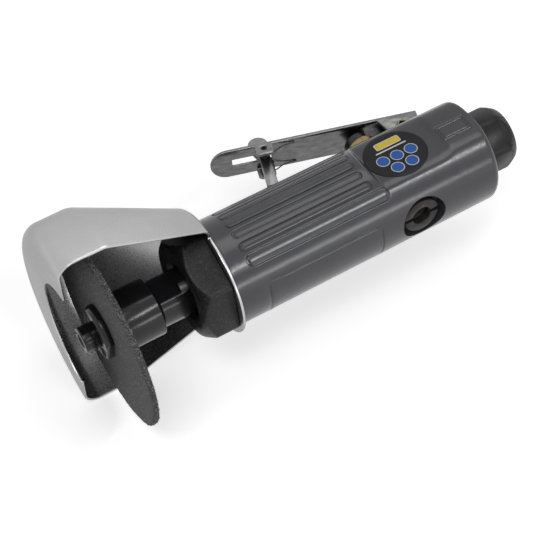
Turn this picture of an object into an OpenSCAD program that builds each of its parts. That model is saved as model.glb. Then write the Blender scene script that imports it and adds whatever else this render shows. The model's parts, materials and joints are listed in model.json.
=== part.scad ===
// Hand-held air cut-off tool with a swivelling half guard, a lever throttle and a vane motor.
// X runs along the tool from the wheel to the air inlet, Y points to the lever, Z is up.
// The origin is the centre of the air inlet's mouth, so most of the tool lies at negative X.
// Angles round the axis are measured from the lever side towards +Z.

/* [Housing] */
// Length of the housing from its front face to its rear face
housing_len = 109.5; // [107:0.5:120]
// Outer radius of the barrel at its front face
barrel_front_r = 20; // [19.6:0.1:21]
// Outer radius of the barrel at its rear end
barrel_rear_r = 19.7; // [19.3:0.1:20.5]
// Radius of the round on the rear edge
rear_round = 2.5; // [1.5:0.1:3]
// Distance from the axis to the flat that carries the label
flat_z = 16.3; // [16:0.1:16.5]
// Length of the label flat
flat_len = 25; // [24.5:0.5:27]
// Distance from the axis to the flat behind the label
rear_flat_z = 17.3; // [17.2:0.1:18]
// Length of the flat behind the label
rear_flat_len = 16; // [14:0.5:17]

/* [Grip ribs] */
// Number of grip ribs on each side
ribs = 6; // [3:1:6]
// Angle of the first rib
rib_first = 55.5; // [50:0.5:58]
// Angle between neighbouring ribs
rib_pitch = 15.2; // [14.5:0.1:15.5]
// Width of a rib over its outline groove
rib_w = 4; // [3:0.1:4.3]
// Width of the outline groove
rib_line = 0.8; // [0.5:0.1:1]
// Depth of the outline groove
rib_depth = 0.5; // [0.3:0.1:0.8]
// Distance from the housing's front face to the front end of the ribs
rib_start = 7; // [6:0.5:10]
// Length of the shortest rib
rib_len = 52.5; // [40:0.5:53]
// How much longer the last rib is than the shortest one
rib_extra = 6; // [3:0.5:7]

/* [Side panel] */
// Distance from the housing's front face to the panel
panel_start = 12; // [10:0.5:16]
// Length of the panel
panel_len = 46.5; // [40:0.5:50]
// Angle of the panel's middle
panel_mid = 189; // [180:1:190]
// Half of the angle that the panel spans
panel_half = 28; // [20:0.5:28]

/* [Air motor] */
// Outer radius of the motor stack
motor_r = 15; // [14.8:0.1:15.2]
// Distance from the valve's axis to the end of the motor's bore
motor_back = 11.9; // [11:0.1:14]
// Bore radius of the motor cylinder
cylinder_bore_r = 12.25; // [12.1:0.05:12.4]
// Distance from the tool's axis to the cylinder bore's axis
cylinder_offset = 1; // [0.8:0.05:1.05]
// Radius of the rotor body
rotor_r = 11; // [10.6:0.1:11]
// Number of vanes
vanes = 5; // [4:1:6]
// Thickness of a vane
vane_t = 1.4; // [1:0.1:1.8]
// Depth of a vane
vane_depth = 5.6; // [4.5:0.1:6]
// Thickness of the wall of each end plate
plate_wall = 3; // [2.5:0.1:4]
// Thickness of the gasket behind the motor
gasket_t = 0.8; // [0.5:0.1:1.2]
// Radius of the locating pin through the motor stack
locating_r = 1; // [0.8:0.1:1.1]

/* [Bearings] */
// Bore radius of the front bearing
front_bore_r = 5; // [4.8:0.1:5.2]
// Outer radius of the front bearing
front_od_r = 13; // [12.8:0.1:13.2]
// Width of the front bearing
front_w = 8; // [7:0.5:9]
// Ball radius of the front bearing
front_ball_r = 2.35; // [2.1:0.05:2.5]
// Number of balls in the front bearing
front_balls = 7; // [6:1:8]
// Bore radius of the rear bearing
rear_bore_r = 4; // [3.8:0.1:4.2]
// Outer radius of the rear bearing
rear_od_r = 11; // [10.8:0.1:11.2]
// Width of the rear bearing
rear_w = 7; // [6:0.5:8]
// Ball radius of the rear bearing
rear_ball_r = 1.98; // [1.8:0.02:2.1]
// Number of balls in the rear bearing
rear_balls = 7; // [6:1:8]

/* [Clamp nut] */
// Length of the hexagon
nut_len = 12; // [10:0.5:14]
// Width of the hexagon across its flats
nut_flats = 36.5; // [35:0.5:38]
// Radius to which the hexagon's corners are turned
nut_corner_r = 20.6; // [20:0.1:21.5]
// Length of the threaded spigot that enters the housing
spigot_len = 9.5; // [8:0.5:12]
// Radius of the hole that the spindle hub turns in
nut_hole_r = 9.9; // [9.6:0.1:10.4]
// Angle of one corner of the hexagon
nut_turn = 27; // [0:1:60]

/* [Guard] */
// Thickness of the guard's sheet
guard_sheet = 1; // [0.8:0.1:1.5]
// Outer radius of the guard's collar ring
guard_ring_r = 22.2; // [21.5:0.1:23]
// Radius at which the hood leaves the collar ring
hood_base_r = 23.5; // [23:0.1:25]
// Outer radius of the hood over the wheel
hood_r = 43.9; // [42:0.1:48]
// Slope of the hood's cone to the axis
hood_slope = 25.4; // [22:0.1:32]
// Distance from the collar ring's rear face to the hood's front face
hood_reach = 56; // [53:0.5:62]
// Radius of the round between the front wall and the hood
hood_front_round = 6.5; // [4:0.1:8]
// Radius of the round at the shoulder between the cone and the hood
hood_shoulder = 8; // [4:0.5:12]
// Half of the angle that the hood covers
hood_half = 88.5; // [80:0.5:89]
// Height of the opening in the front wall, from the axis
mouth_h = 21.3; // [18:0.1:26]
// Half of the width of the opening in the front wall
mouth_half = 26.5; // [22:0.5:30]
// Angle that the guard is turned from the lever
guard_turn = 7; // [-60:1:60]

/* [Wheel and hub] */
// Radius of the cutting disc
disc_r = 37.5; // [35:0.5:38]
// Thickness of the cutting disc
disc_t = 2.2; // [1:0.1:3]
// Radius of the bore in the cutting disc
disc_bore_r = 5; // [4.8:0.1:5.2]
// Distance from the clamp nut's front face to the disc's rear face
wheel_gap = 29.1; // [26:0.1:32]
// Radius of the hub behind the disc
hub_r = 10.8; // [10:0.1:12]
// Length of the hub behind the disc
hub_len = 17; // [14:0.5:18]
// Radius of the neck behind the hub
neck_r = 8.85; // [8.4:0.05:9.2]
// Width across the spanner flats on the neck
neck_flats = 14; // [13:0.5:16]
// Length of the spanner flats on the neck
neck_flat_len = 8.7; // [7:0.1:9]
// Radius of the outer flange
flange_r = 10.65; // [10:0.05:12]
// Thickness of the outer flange
flange_t = 3.2; // [2.5:0.1:4]
// Width across the flats on the outer flange
flange_flats = 17; // [16:0.5:19]
// Radius of the wheel screw's thread
screw_r = 3; // [2.5:0.1:3.5]
// Radius of the wheel screw's head
screw_head_r = 4.9; // [4.5:0.1:5.5]
// Height of the wheel screw's head
screw_head_len = 5.5; // [4:0.1:6]
// Width across the flats of the wheel screw's socket
screw_socket = 5; // [4:0.5:5.5]

/* [Air inlet] */
// Length of the inlet bush behind the housing
inlet_reach = 14; // [11:0.5:16]
// Width of the inlet bush across its flats
inlet_flats = 22.4; // [22:0.1:23]
// Radius to which the inlet bush's corners are turned
inlet_corner_r = 12.3; // [11.8:0.1:12.8]
// Radius of the inlet bush at its mouth
inlet_mouth_r = 10.2; // [9:0.1:11]
// Tapping radius of the quarter inch pipe thread
inlet_thread_r = 5.9; // [5.7:0.05:6.1]
// Length of the pipe thread
inlet_thread_len = 12; // [10:0.5:13]
// Radius of the spigot that screws into the housing
inlet_spigot_r = 9.5; // [9.3:0.1:9.8]
// Length of the spigot that screws into the housing
inlet_spigot_len = 12; // [10:0.5:13]
// Radius of the air passage from the inlet to the valve
passage_r = 4.5; // [3.5:0.1:5]

/* [Throttle valve] */
// Distance from the housing's rear face to the valve's axis
valve_back = 33.5; // [32:0.5:35]
// Radius of the valve bore
valve_bore_r = 6.5; // [6.3:0.1:6.7]
// Height of the valve bush's top above the axis
bush_top = 23.5; // [22.5:0.1:24]
// Height of the valve bush's lower end above the axis
bush_foot = 7; // [6.5:0.1:7.5]
// Radius of the plunger
plunger_r = 5; // [4.6:0.1:5.2]
// Radius of the plunger's domed top
dome_r = 6.2; // [5.8:0.1:7]
// Radius of the valve spring, to the middle of its wire
valve_spring_r = 2.9; // [2.6:0.1:3.2]
// Radius of the valve spring's wire
valve_wire_r = 0.35; // [0.3:0.05:0.4]
// Number of turns of the valve spring
valve_turns = 5; // [4:1:6]

/* [Regulator] */
// Depth of the regulator's recess below the axis
recess_y = 13.5; // [13:0.1:14]
// Radius of the regulator's recess
recess_r = 9; // [8.8:0.1:9.3]
// Radius of the regulator's head
regulator_head_r = 7.2; // [7:0.1:7.8]
// Thickness of the regulator's head
regulator_head_t = 4.2; // [3.5:0.1:4.5]
// Radius of the blind hole in the regulator's head
regulator_hole_r = 3.8; // [3:0.1:4.2]
// Width of the screwdriver slot
regulator_slot = 1.6; // [1:0.1:2]

/* [Lever] */
// Distance from the housing's rear face to the lever's pin
pivot_back = 16.7; // [16.2:0.1:17.2]
// Height of the lever's pin above the axis
pivot_y = 19.5; // [19.3:0.1:20]
// Angle of the lever to the axis at rest
lever_tilt = 18.1; // [17.6:0.1:19]
// Travel of the lever
lever_travel = 8; // [6:0.5:8]
// Height of the lever's top over its pin
lever_top = 5.8; // [5.7:0.1:6.2]
// Width of the lever
lever_w = 13.3; // [13:0.1:13.6]
// Thickness of the lever's sheet
lever_sheet = 1.2; // [1:0.1:1.3]
// Length of the lever from its pin to its tip
lever_len = 73.7; // [72:0.1:80]
// Radius of the lever's pin
lever_pin_r = 2.25; // [2:0.05:2.4]
// Wall thickness of the lever's rolled pin
lever_pin_wall = 0.6; // [0.4:0.1:0.8]
// Width of the slot in the lever
slot_w = 3.5; // [3.4:0.1:4]

/* [Latch] */
// Distance from the lever's pin to the latch's pin, along the lever
latch_reach = 53; // [52:0.1:56]
// Depth of the latch's pin below the lever's top
latch_drop = 2.9; // [2.8:0.1:3.2]
// Length of the latch's leg below its pin
latch_leg = 14.5; // [13:0.1:14.6]
// Height of the latch's tab above its pin
latch_tab = 11.4; // [10:0.1:12]
// Width of the latch's leg
latch_leg_w = 4.2; // [4:0.1:4.4]
// Width of the latch's tab
latch_tab_w = 7.8; // [7:0.1:8]
// Distance that the latch's tab stands forward of its leg
latch_lean = 1.2; // [0.8:0.1:1.4]
// Thickness of the folded latch
latch_t = 2.8; // [2.4:0.1:2.9]
// Thickness of the latch's sheet
latch_sheet = 0.8; // [0.6:0.1:1]
// Radius of the latch's pin
latch_pin_r = 1.05; // [0.9:0.05:1.1]
// Radius of the latch spring's wire
latch_wire_r = 0.22; // [0.2:0.01:0.24]
// Turns of the latch spring on each side
latch_turns = 2.75; // [1.75:1:2.75]

/* [Fits] */
// Gap round a part that is seated and doesn't move
seat_gap = 0.05; // [0.03:0.01:0.08]
// Gap round a part that turns or slides
run_gap = 0.05; // [0.03:0.01:0.08]
// Gap between flat faces that slide past each other
face_gap = 0.1; // [0.05:0.01:0.15]

/* [Hidden] */

$fn = 64;
over = 1;

// Places along the axis, from the inlet's mouth forward
rear_x = -inlet_reach;
front_x = rear_x - housing_len;
ring_rear_x = front_x - face_gap;
ring_front_x = ring_rear_x - guard_sheet;
nut_rear_x = ring_front_x - face_gap;
nut_front_x = nut_rear_x - nut_len;
disc_rear_x = nut_front_x - wheel_gap;
disc_front_x = disc_rear_x - disc_t;
flange_front_x = disc_front_x - flange_t;
valve_x = rear_x - valve_back;
pivot_x = rear_x - pivot_back;

// The motor stack, from the clamp nut's spigot to the gasket. The cylinder takes the length between
// the two end plates.
stack_x = nut_rear_x + spigot_len;
front_plate_len = front_w + plate_wall;
cylinder_x = stack_x + front_plate_len;
bore_end_x = valve_x - motor_back;
gasket_x = bore_end_x - gasket_t;
rear_plate_len = rear_w + plate_wall;
rear_plate_x = gasket_x - rear_plate_len;
cylinder_len = rear_plate_x - cylinder_x;
front_bearing_x = stack_x;
rear_bearing_x = rear_plate_x + plate_wall;

// Air passages
locating_angle = -40;
locating_at = cylinder_bore_r + 0.85;
feed_angle = 20;
feed_at = locating_at;
feed_r = 1.4;
exhaust_angle = 130;
exhaust_at = motor_r - 1.1;
exhaust_r = 2.2;
chamber_len = 6.8;
chamber_in_r = inlet_spigot_r + 1.1;
chamber_out_r = motor_r;
cover_t = 1.5;
cover_inset = 0.2;

// Gallery round the valve bush that feeds the motor
gallery_y = feed_at * cos(feed_angle);
gallery_h = 5;
gallery_depth = 1;

// Regulator sleeve
sleeve_r = valve_bore_r - run_gap;
sleeve_top = bush_foot - 0.7;
sleeve_floor = -6;
seal_wire_r = 0.7;
clip_t = 0.9;
clip_y = -11.9;
clip_bite = 0.7;
regulator_seal_y = -9.5;

// Valve plunger
plunger_foot = 16.5;
rod_r = 1.9;
seat_t = 2;
seat_r = 4.3;
seat_top = bush_foot - face_gap;
collar_t = 1.5;
seat_foot = seat_top - seat_t;
spring_top = seat_foot - collar_t;
plunger_seal_r = 0.5;
plunger_seal_y = 18.6;
guide_r = 1.4;
guide_len = 5;

// Lever and latch
lug_r = 4;
lug_gap = 0.35;
lever_rear = 6.3;
flange_low = -2.8;
flange_slope = 3.6;
flange_front = -9.3;
pocket_side = 0.45;
pocket_floor = pivot_y + flange_low * cos(lever_tilt) - (lever_rear - 1) * sin(lever_tilt) - 0.35;
pocket_front_x = pivot_x - 8.5;
pocket_rear_x = pivot_x + 8.5;
ear_half = 3.4;
ear_drop = 6.2;
slot_front = 12.3;
slot_rear = 2.8;
latch_x = -latch_reach;
foot_round = 1.3;
latch_y = lever_top - latch_drop;
latch_spring_r = latch_pin_r + latch_wire_r + 0.08;

// Label
label_x = valve_x + 0.7;
label_len = 24.4;
label_h = 22.6;
label_t = 0.3;

// Height of the dome's centre when it just misses the lever's underside, at a tilt of the lever
function dome_height(tilt) = pivot_y + (lever_top - lever_sheet - dome_r - face_gap
    + (pivot_x - valve_x) * sin(tilt)) / cos(tilt);
dome_y = dome_height(lever_tilt);
valve_stroke = dome_y - dome_height(lever_tilt - lever_travel);

function unit(v) = v / norm(v);
function arc(c, r, from, to, steps) =
    [for (i = [0:steps]) let (a = from + (to - from) * i / steps) c + r * [cos(a), sin(a)]];

// Turns a shape drawn about Z so that it lies about the tool's axis
module about_axis() {
    rotate([90, 0, 90]) children();
}

// Turns a shape drawn about Z so that it stands about Y
module upright() {
    rotate([-90, 0, 0]) children();
}

module rod(from, to, r) {
    translate([from, 0, 0]) rotate([0, 90, 0]) cylinder(h = to - from, r = r);
}

module cone_rod(from, to, r_from, r_to) {
    translate([from, 0, 0]) rotate([0, 90, 0]) cylinder(h = to - from, r1 = r_from, r2 = r_to);
}

module tube(from, to, r_in, r_out) {
    difference() {
        rod(from, to, r_out);
        rod(from - over, to + over, r_in);
    }
}

module post(from, to, r) {
    translate([0, from, 0]) upright() cylinder(h = to - from, r = r);
}

// A rod parallel to the axis, at a radius and an angle round it
module side_rod(from, to, r, at, angle) {
    rotate([angle, 0, 0]) translate([0, at, 0]) rod(from, to, r);
}

module seal_ring(at, ring_r, wire_r) {
    translate([at, 0, 0]) about_axis() rotate_extrude() translate([ring_r, 0]) circle(wire_r);
}

module post_seal(at, ring_r, wire_r) {
    translate([0, at, 0]) upright() rotate_extrude() translate([ring_r, 0]) circle(wire_r);
}

// A hexagon along the axis whose corners are turned round
module hex_rod(from, to, flats, corner_r, turn) {
    intersection() {
        translate([from, 0, 0]) rotate([turn, 0, 0]) about_axis()
            cylinder(h = to - from, r = flats / 2 / cos(30), $fn = 6);
        rod(from, to, corner_r);
    }
}

// A closed round tube through points, with a normal given at each point
module wire(points, normals, r, sides = 6) {
    n = len(points);
    ring = [for (i = [0:n - 1])
        let (t = unit(points[min(i + 1, n - 1)] - points[max(i - 1, 0)]))
        let (u = unit(normals[i] - (normals[i] * t) * t), v = cross(t, u))
        for (k = [0:sides - 1]) points[i] + r * (cos(360 * k / sides) * u + sin(360 * k / sides) * v)];
    walls = [for (i = [0:n - 2], k = [0:sides - 1])
        let (a = i * sides + k, b = i * sides + (k + 1) % sides)
        each [[a, b + sides, b], [a, a + sides, b + sides]]];
    front = [for (k = [1:sides - 2]) [0, k, k + 1]];
    back = [for (k = [1:sides - 2]) [(n - 1) * sides, (n - 1) * sides + k + 1, (n - 1) * sides + k]];
    polyhedron(ring, concat(walls, front, back));
}

// Least distance between two points of a wire that are more than half a turn apart along it
function wire_gap(p, skip) = min([for (i = [0:len(p) - 1 - skip], j = [i + skip:len(p) - 1])
    norm(p[i] - p[j])]);

module lever_frame() {
    translate([pivot_x, pivot_y, 0]) rotate([0, 0, -lever_tilt]) children();
}

module latch_frame() {
    lever_frame() translate([latch_x, latch_y, 0]) children();
}

// A plate drawn in X and Y and extruded equally to both sides of the tool's middle plane
module slab(t) {
    translate([0, 0, -t / 2]) linear_extrude(t) children();
}

// Housing
function barrel_r(x) = barrel_front_r + (barrel_rear_r - barrel_front_r) * (x - front_x) / housing_len;

module barrel_solid() {
    about_axis() rotate_extrude($fn = 96) polygon(concat(
        [[0, front_x], [barrel_front_r, front_x]],
        arc([barrel_rear_r - rear_round, rear_x - rear_round], rear_round, 0, 90, 6),
        [[0, rear_x]]));
}

module racetrack(len, w, h) {
    linear_extrude(h) union() {
        translate([w / 2, -w / 2]) square([len - w, w]);
        translate([w / 2, 0]) circle(w / 2, $fn = 24);
        translate([len - w / 2, 0]) circle(w / 2, $fn = 24);
    }
}

// Outline groove of one grip rib, at its angle
module rib_groove(angle, len, w) {
    rotate([angle, 0, 0]) translate([front_x + rib_start, barrel_r(front_x + rib_start) - rib_depth, 0])
        upright() difference() {
            racetrack(len, w, rib_depth + over);
            translate([rib_line, 0, -over])
                racetrack(len - 2 * rib_line, w - 2 * rib_line, rib_depth + 3 * over);
        }
}

module rib_grooves() {
    for (side = [1, -1], i = [0:ribs - 1]) {
        last = i == ribs - 1;
        spread = abs(i - (ribs - 1) / 2);
        rib_groove(side * (rib_first + i * rib_pitch), rib_len + (last ? rib_extra : spread),
            last ? rib_w + 1.3 : rib_w);
    }
}

// Frame groove of the bare panel on the side away from the lever. Its straight grooves are a little
// shallower and end inside the curved ones.
module panel_groove() {
    x = front_x + panel_start;
    floor_r = barrel_r(x) - rib_depth;
    arc_half = panel_half + 1.6;
    for (from = [x, x + panel_len - rib_line]) rotate([panel_mid - arc_half, 0, 0]) about_axis()
        rotate_extrude(angle = 2 * arc_half, $fn = 96) translate([floor_r, from]) square([2, rib_line]);
    for (side = [1, -1]) rotate([panel_mid + side * panel_half, 0, 0])
        translate([x + rib_line / 2, floor_r + 0.1, -rib_line / 2])
            cube([panel_len - rib_line, 2, rib_line]);
}

// The flats on both sides: a label flat with a sloped front end, and a higher flat behind it
module side_flats() {
    high = max(barrel_front_r, barrel_rear_r) + over;
    flat_front = label_x - flat_len / 2;
    step_x = rear_x - rear_flat_len;
    for (side = [0, 1]) mirror([0, 0, side])
        translate([0, high, 0]) rotate([90, 0, 0]) linear_extrude(2 * high) polygon([
            [flat_front - (high - flat_z) / 2, high], [flat_front, flat_z],
            [flat_front + flat_len, flat_z], [step_x, rear_flat_z - 0.6],
            [step_x + 0.8, rear_flat_z], [rear_x + over, rear_flat_z], [rear_x + over, high]]);
}

module lever_pocket() {
    half = lever_w / 2 + pocket_side;
    translate([pocket_front_x, pocket_floor, -half])
        cube([pocket_rear_x - pocket_front_x, barrel_front_r, 2 * half]);
}

module lever_lug() {
    half = lever_w / 2 - lever_sheet - lug_gap;
    translate([pivot_x, 0, 0]) slab(2 * half) union() {
        translate([0, pivot_y]) circle(lug_r);
        translate([-lug_r, pocket_floor - over]) square([2 * lug_r, pivot_y - pocket_floor + over]);
    }
}

module housing() {
    color([0.33, 0.33, 0.35]) difference() {
        union() {
            difference() {
                barrel_solid();
                lever_pocket();
            }
            lever_lug();
        }
        translate([pivot_x, pivot_y, 0]) slab(lever_w) circle(lever_pin_r + seat_gap);
        rod(front_x - over, bore_end_x, motor_r + seat_gap);
        side_rod(bore_end_x - over, valve_x, feed_r, feed_at, feed_angle);
        for (side = [1, -1])
            side_rod(cylinder_x, rear_x - chamber_len + over, exhaust_r, exhaust_at, side * exhaust_angle);
        rod(valve_x, rear_x - inlet_spigot_len, passage_r);
        rod(rear_x - inlet_spigot_len - seat_gap, rear_x + over, inlet_spigot_r + seat_gap);
        tube(rear_x - chamber_len, rear_x + over, chamber_in_r, chamber_out_r);
        translate([valve_x, 0, 0]) {
            post(-recess_y - over, barrel_front_r + over, valve_bore_r);
            post(-barrel_front_r - over, -recess_y, recess_r);
            post(clip_y - face_gap, clip_y + clip_t + face_gap, valve_bore_r + clip_bite + seat_gap);
        }
        side_flats();
        rib_grooves();
        panel_groove();
    }
}

module side_label() {
    color([0.05, 0.05, 0.05]) translate([label_x, 0, flat_z]) linear_extrude(label_t)
        polygon([for (i = [0:71]) [label_len / 2 * cos(5 * i), label_h / 2 * sin(5 * i)]]);
}

// Clamp nut and guard
module clamp_nut() {
    chamfer = 3;
    bevel = 2;
    color([0.09, 0.09, 0.1]) difference() {
        union() {
            intersection() {
                hex_rod(nut_front_x, nut_rear_x, nut_flats, nut_corner_r, nut_turn);
                union() {
                    cone_rod(nut_front_x, nut_front_x + chamfer, nut_corner_r - chamfer, nut_corner_r);
                    rod(nut_front_x + chamfer, nut_rear_x, nut_corner_r);
                }
            }
            rod(nut_rear_x - over, stack_x, motor_r - seat_gap);
        }
        rod(nut_front_x - over, stack_x + over, nut_hole_r);
        cone_rod(nut_front_x - over, nut_front_x + bevel, nut_hole_r + bevel + over, nut_hole_r);
        rod(stack_x - spigot_len / 2, stack_x + over, nut_hole_r + 1);
    }
}

// Half section of the hood's sheet in radius and X, outer or inner side
function hood_path(inset) = let (
    base = 4, n = [cos(hood_slope), sin(hood_slope)],
    c1 = [hood_base_r, ring_rear_x - base],
    k = c1 * n + base,
    c2 = [hood_r - hood_shoulder, (k - hood_shoulder - (hood_r - hood_shoulder) * n[0]) / n[1]],
    c3 = [hood_r - hood_front_round, ring_rear_x - hood_reach + hood_front_round])
    concat([[guard_ring_r - over, ring_rear_x - inset]],
        arc(c1, base - inset, 90, hood_slope, 5),
        arc(c2, hood_shoulder - inset, hood_slope, 0, 4),
        arc(c3, hood_front_round - inset, 0, -90, 8),
        [[screw_head_r, ring_rear_x - hood_reach + inset]]);

function reversed(list) = [for (i = [len(list) - 1:-1:0]) list[i]];

module guard_mouth() {
    translate([ring_rear_x - hood_reach - over, 0, 0]) about_axis()
        linear_extrude(guard_sheet + 2 * over) union() {
            polygon([for (i = [0:36]) [mouth_h * sin(5 * i), mouth_half * cos(5 * i)]]);
            translate([-hood_r, -mouth_half]) square([hood_r + 0.01, 2 * mouth_half]);
        }
}

module guard() {
    color([0.75, 0.75, 0.75]) rotate([guard_turn, 0, 0]) difference() {
        union() {
            rod(ring_front_x, ring_rear_x, guard_ring_r);
            rotate([-hood_half, 0, 0]) about_axis() rotate_extrude(angle = 2 * hood_half, $fn = 96)
                polygon(concat(hood_path(0), reversed(hood_path(guard_sheet))));
        }
        rod(ring_front_x - over, ring_rear_x + over, motor_r + run_gap);
        guard_mouth();
    }
}

// Air motor
module locating_hole(from, to) {
    side_rod(from, to, locating_r + seat_gap, locating_at, locating_angle);
}

module feed_hole(from, to) {
    side_rod(from, to, feed_r, feed_at, feed_angle);
}

locating_in = 2.2;

module front_end_plate() {
    color("silver") difference() {
        rod(stack_x + seat_gap, cylinder_x, motor_r - seat_gap);
        rod(stack_x, stack_x + front_w, front_od_r + seat_gap);
        rod(stack_x, cylinder_x + over, front_bore_r + 0.6);
        locating_hole(cylinder_x - locating_in - seat_gap, cylinder_x + over);
    }
}

module motor_cylinder() {
    color("lightgray") difference() {
        rod(cylinder_x, rear_plate_x, motor_r - seat_gap);
        translate([0, -cylinder_offset, 0]) rod(cylinder_x - over, rear_plate_x + over, cylinder_bore_r);
        locating_hole(cylinder_x - over, rear_plate_x + over);
        feed_hole(rear_plate_x - 3, rear_plate_x + over);
        rotate([feed_angle, 0, 0]) translate([rear_plate_x - 3, cylinder_bore_r - 3, -feed_r])
            cube([3 + over, feed_at - cylinder_bore_r + 3, 2 * feed_r]);
        for (side = [1, -1], i = [0:4])
            rotate([side * exhaust_angle, 0, 0])
                translate([cylinder_x + cylinder_len * (i + 1) / 6, rotor_r - 2, 0])
                    upright() cylinder(h = motor_r, r = 1.3);
    }
}

module locating_pin() {
    color("silver") side_rod(cylinder_x - locating_in, rear_plate_x + locating_in, locating_r,
        locating_at, locating_angle);
}

module rear_end_plate() {
    color("silver") difference() {
        rod(rear_plate_x, gasket_x, motor_r - seat_gap);
        rod(rear_bearing_x, gasket_x + over, rear_od_r + seat_gap);
        rod(rear_plate_x - over, gasket_x, rear_bore_r + 0.6);
        locating_hole(rear_plate_x - over, rear_plate_x + locating_in + seat_gap);
        feed_hole(rear_plate_x - over, gasket_x + over);
        for (side = [1, -1])
            side_rod(rear_plate_x - over, gasket_x + over, exhaust_r, exhaust_at, side * exhaust_angle);
    }
}

module motor_gasket() {
    color("darkslategray") difference() {
        rod(gasket_x, bore_end_x, motor_r - seat_gap);
        rod(gasket_x - over, bore_end_x + over, rear_od_r - 2);
        feed_hole(gasket_x - over, bore_end_x + over);
        for (side = [1, -1])
            side_rod(gasket_x - over, bore_end_x + over, exhaust_r, exhaust_at, side * exhaust_angle);
    }
}

// Ball bearings. Each is an outer ring, a cage, a set of balls and an inner ring.
function pitch_r(bore, od) = (bore + od) / 2;

module race_ring(x, w, r_in, r_out, pitch, ball) {
    difference() {
        tube(x + seat_gap, x + w - seat_gap, r_in, r_out);
        seal_ring(x + w / 2, pitch, ball + run_gap);
    }
}

module bearing_outer(x, w, bore, od, ball) {
    pitch = pitch_r(bore, od);
    color("gainsboro") race_ring(x, w, pitch + 0.68 * ball, od, pitch, ball);
}

module bearing_inner(x, w, bore, od, ball) {
    pitch = pitch_r(bore, od);
    color("gainsboro") race_ring(x, w, bore + seat_gap, pitch - 0.68 * ball, pitch, ball);
}

module ball_set(x, w, bore, od, ball, count) {
    for (i = [0:count - 1]) rotate([360 * i / count, 0, 0])
        translate([x + w / 2, pitch_r(bore, od), 0]) sphere(ball);
}

module bearing_balls(x, w, bore, od, ball, count) {
    color("white") ball_set(x, w, bore, od, ball, count);
}

module bearing_cage(x, w, bore, od, ball, count) {
    pitch = pitch_r(bore, od);
    half = ball + 0.6;
    color("goldenrod") difference() {
        tube(x + w / 2 - half, x + w / 2 + half, pitch - 0.2 * ball, pitch + 0.2 * ball);
        for (i = [0:count - 1]) rotate([360 * i / count, 0, 0]) translate([x + w / 2, pitch - ball, 0])
            upright() cylinder(h = 2 * ball, r = ball + run_gap);
    }
}

module front_bearing_outer() {
    bearing_outer(front_bearing_x, front_w, front_bore_r, front_od_r, front_ball_r);
}

module front_bearing_cage() {
    bearing_cage(front_bearing_x, front_w, front_bore_r, front_od_r, front_ball_r, front_balls);
}

module front_bearing_balls() {
    bearing_balls(front_bearing_x, front_w, front_bore_r, front_od_r, front_ball_r, front_balls);
}

module front_bearing_inner() {
    bearing_inner(front_bearing_x, front_w, front_bore_r, front_od_r, front_ball_r);
}

module rear_bearing_outer() {
    bearing_outer(rear_bearing_x, rear_w, rear_bore_r, rear_od_r, rear_ball_r);
}

module rear_bearing_cage() {
    bearing_cage(rear_bearing_x, rear_w, rear_bore_r, rear_od_r, rear_ball_r, rear_balls);
}

module rear_bearing_balls() {
    bearing_balls(rear_bearing_x, rear_w, rear_bore_r, rear_od_r, rear_ball_r, rear_balls);
}

module rear_bearing_inner() {
    bearing_inner(rear_bearing_x, rear_w, rear_bore_r, rear_od_r, rear_ball_r);
}

// Rotor with its shaft, and the vanes drawn into its slots
shaft_in_hub = 28;
vane_out_r = rotor_r + 0.1;

module vane_slots(gap) {
    for (i = [0:vanes - 1]) rotate([360 * i / vanes, 0, 0])
        translate([cylinder_x + face_gap - gap, vane_out_r - vane_depth - gap, -vane_t / 2 - gap])
            cube([cylinder_len - 2 * face_gap + 2 * gap, vane_depth + gap + (gap > 0 ? over : 0),
                vane_t + 2 * gap]);
}

module rotor() {
    color("silver") union() {
        difference() {
            rod(cylinder_x + face_gap, rear_plate_x - face_gap, rotor_r);
            vane_slots(run_gap);
        }
        rod(stack_x - shaft_in_hub, cylinder_x + over, front_bore_r);
        rod(rear_plate_x - over, gasket_x - seat_gap, rear_bore_r);
    }
}

module rotor_vanes() {
    color("saddlebrown") vane_slots(0);
}

// Hub, disc, outer flange and wheel screw
hub_rear_x = disc_rear_x + hub_len;
neck_x = hub_rear_x + (hub_r - neck_r) / 2;
screw_len = 17;
hub_turn = 95;
flange_turn = 20;

module flats_cut(from, to, flats, r, turn) {
    for (side = [0, 180]) rotate([turn + side, 0, 0])
        translate([from, flats / 2, -r]) cube([to - from, r, 2 * r]);
}

module drive_hub() {
    tip = disc_rear_x - disc_t * 0.7;
    nose = 1.5;
    color([0.1, 0.1, 0.11]) difference() {
        union() {
            rod(tip, disc_rear_x, disc_bore_r - seat_gap);
            rod(disc_rear_x, hub_rear_x, hub_r);
            cone_rod(hub_rear_x, neck_x, hub_r, neck_r);
            rod(neck_x, stack_x - nose, neck_r);
            rod(stack_x - nose, stack_x, front_bore_r + 1.6);
        }
        flats_cut(neck_x, neck_x + neck_flat_len, neck_flats, hub_r, hub_turn);
        rod(stack_x - shaft_in_hub - over, stack_x + over, front_bore_r + seat_gap);
        rod(tip - over, flange_front_x + screw_len + over, screw_r + seat_gap);
    }
}

module cutting_disc() {
    color([0.22, 0.22, 0.22]) tube(disc_front_x, disc_rear_x, disc_bore_r, disc_r);
}

module outer_flange() {
    bevel = 1.2;
    color([0.12, 0.12, 0.13]) difference() {
        union() {
            rod(flange_front_x + bevel, disc_front_x, flange_r);
            cone_rod(flange_front_x, flange_front_x + bevel, flange_r - bevel, flange_r);
        }
        rod(flange_front_x - over, disc_front_x + over, screw_r + seat_gap);
        rod(disc_front_x - 0.5, disc_front_x + over, disc_bore_r + 1);
        flats_cut(flange_front_x - over, disc_front_x + over, flange_flats, flange_r, flange_turn);
    }
}

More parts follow.
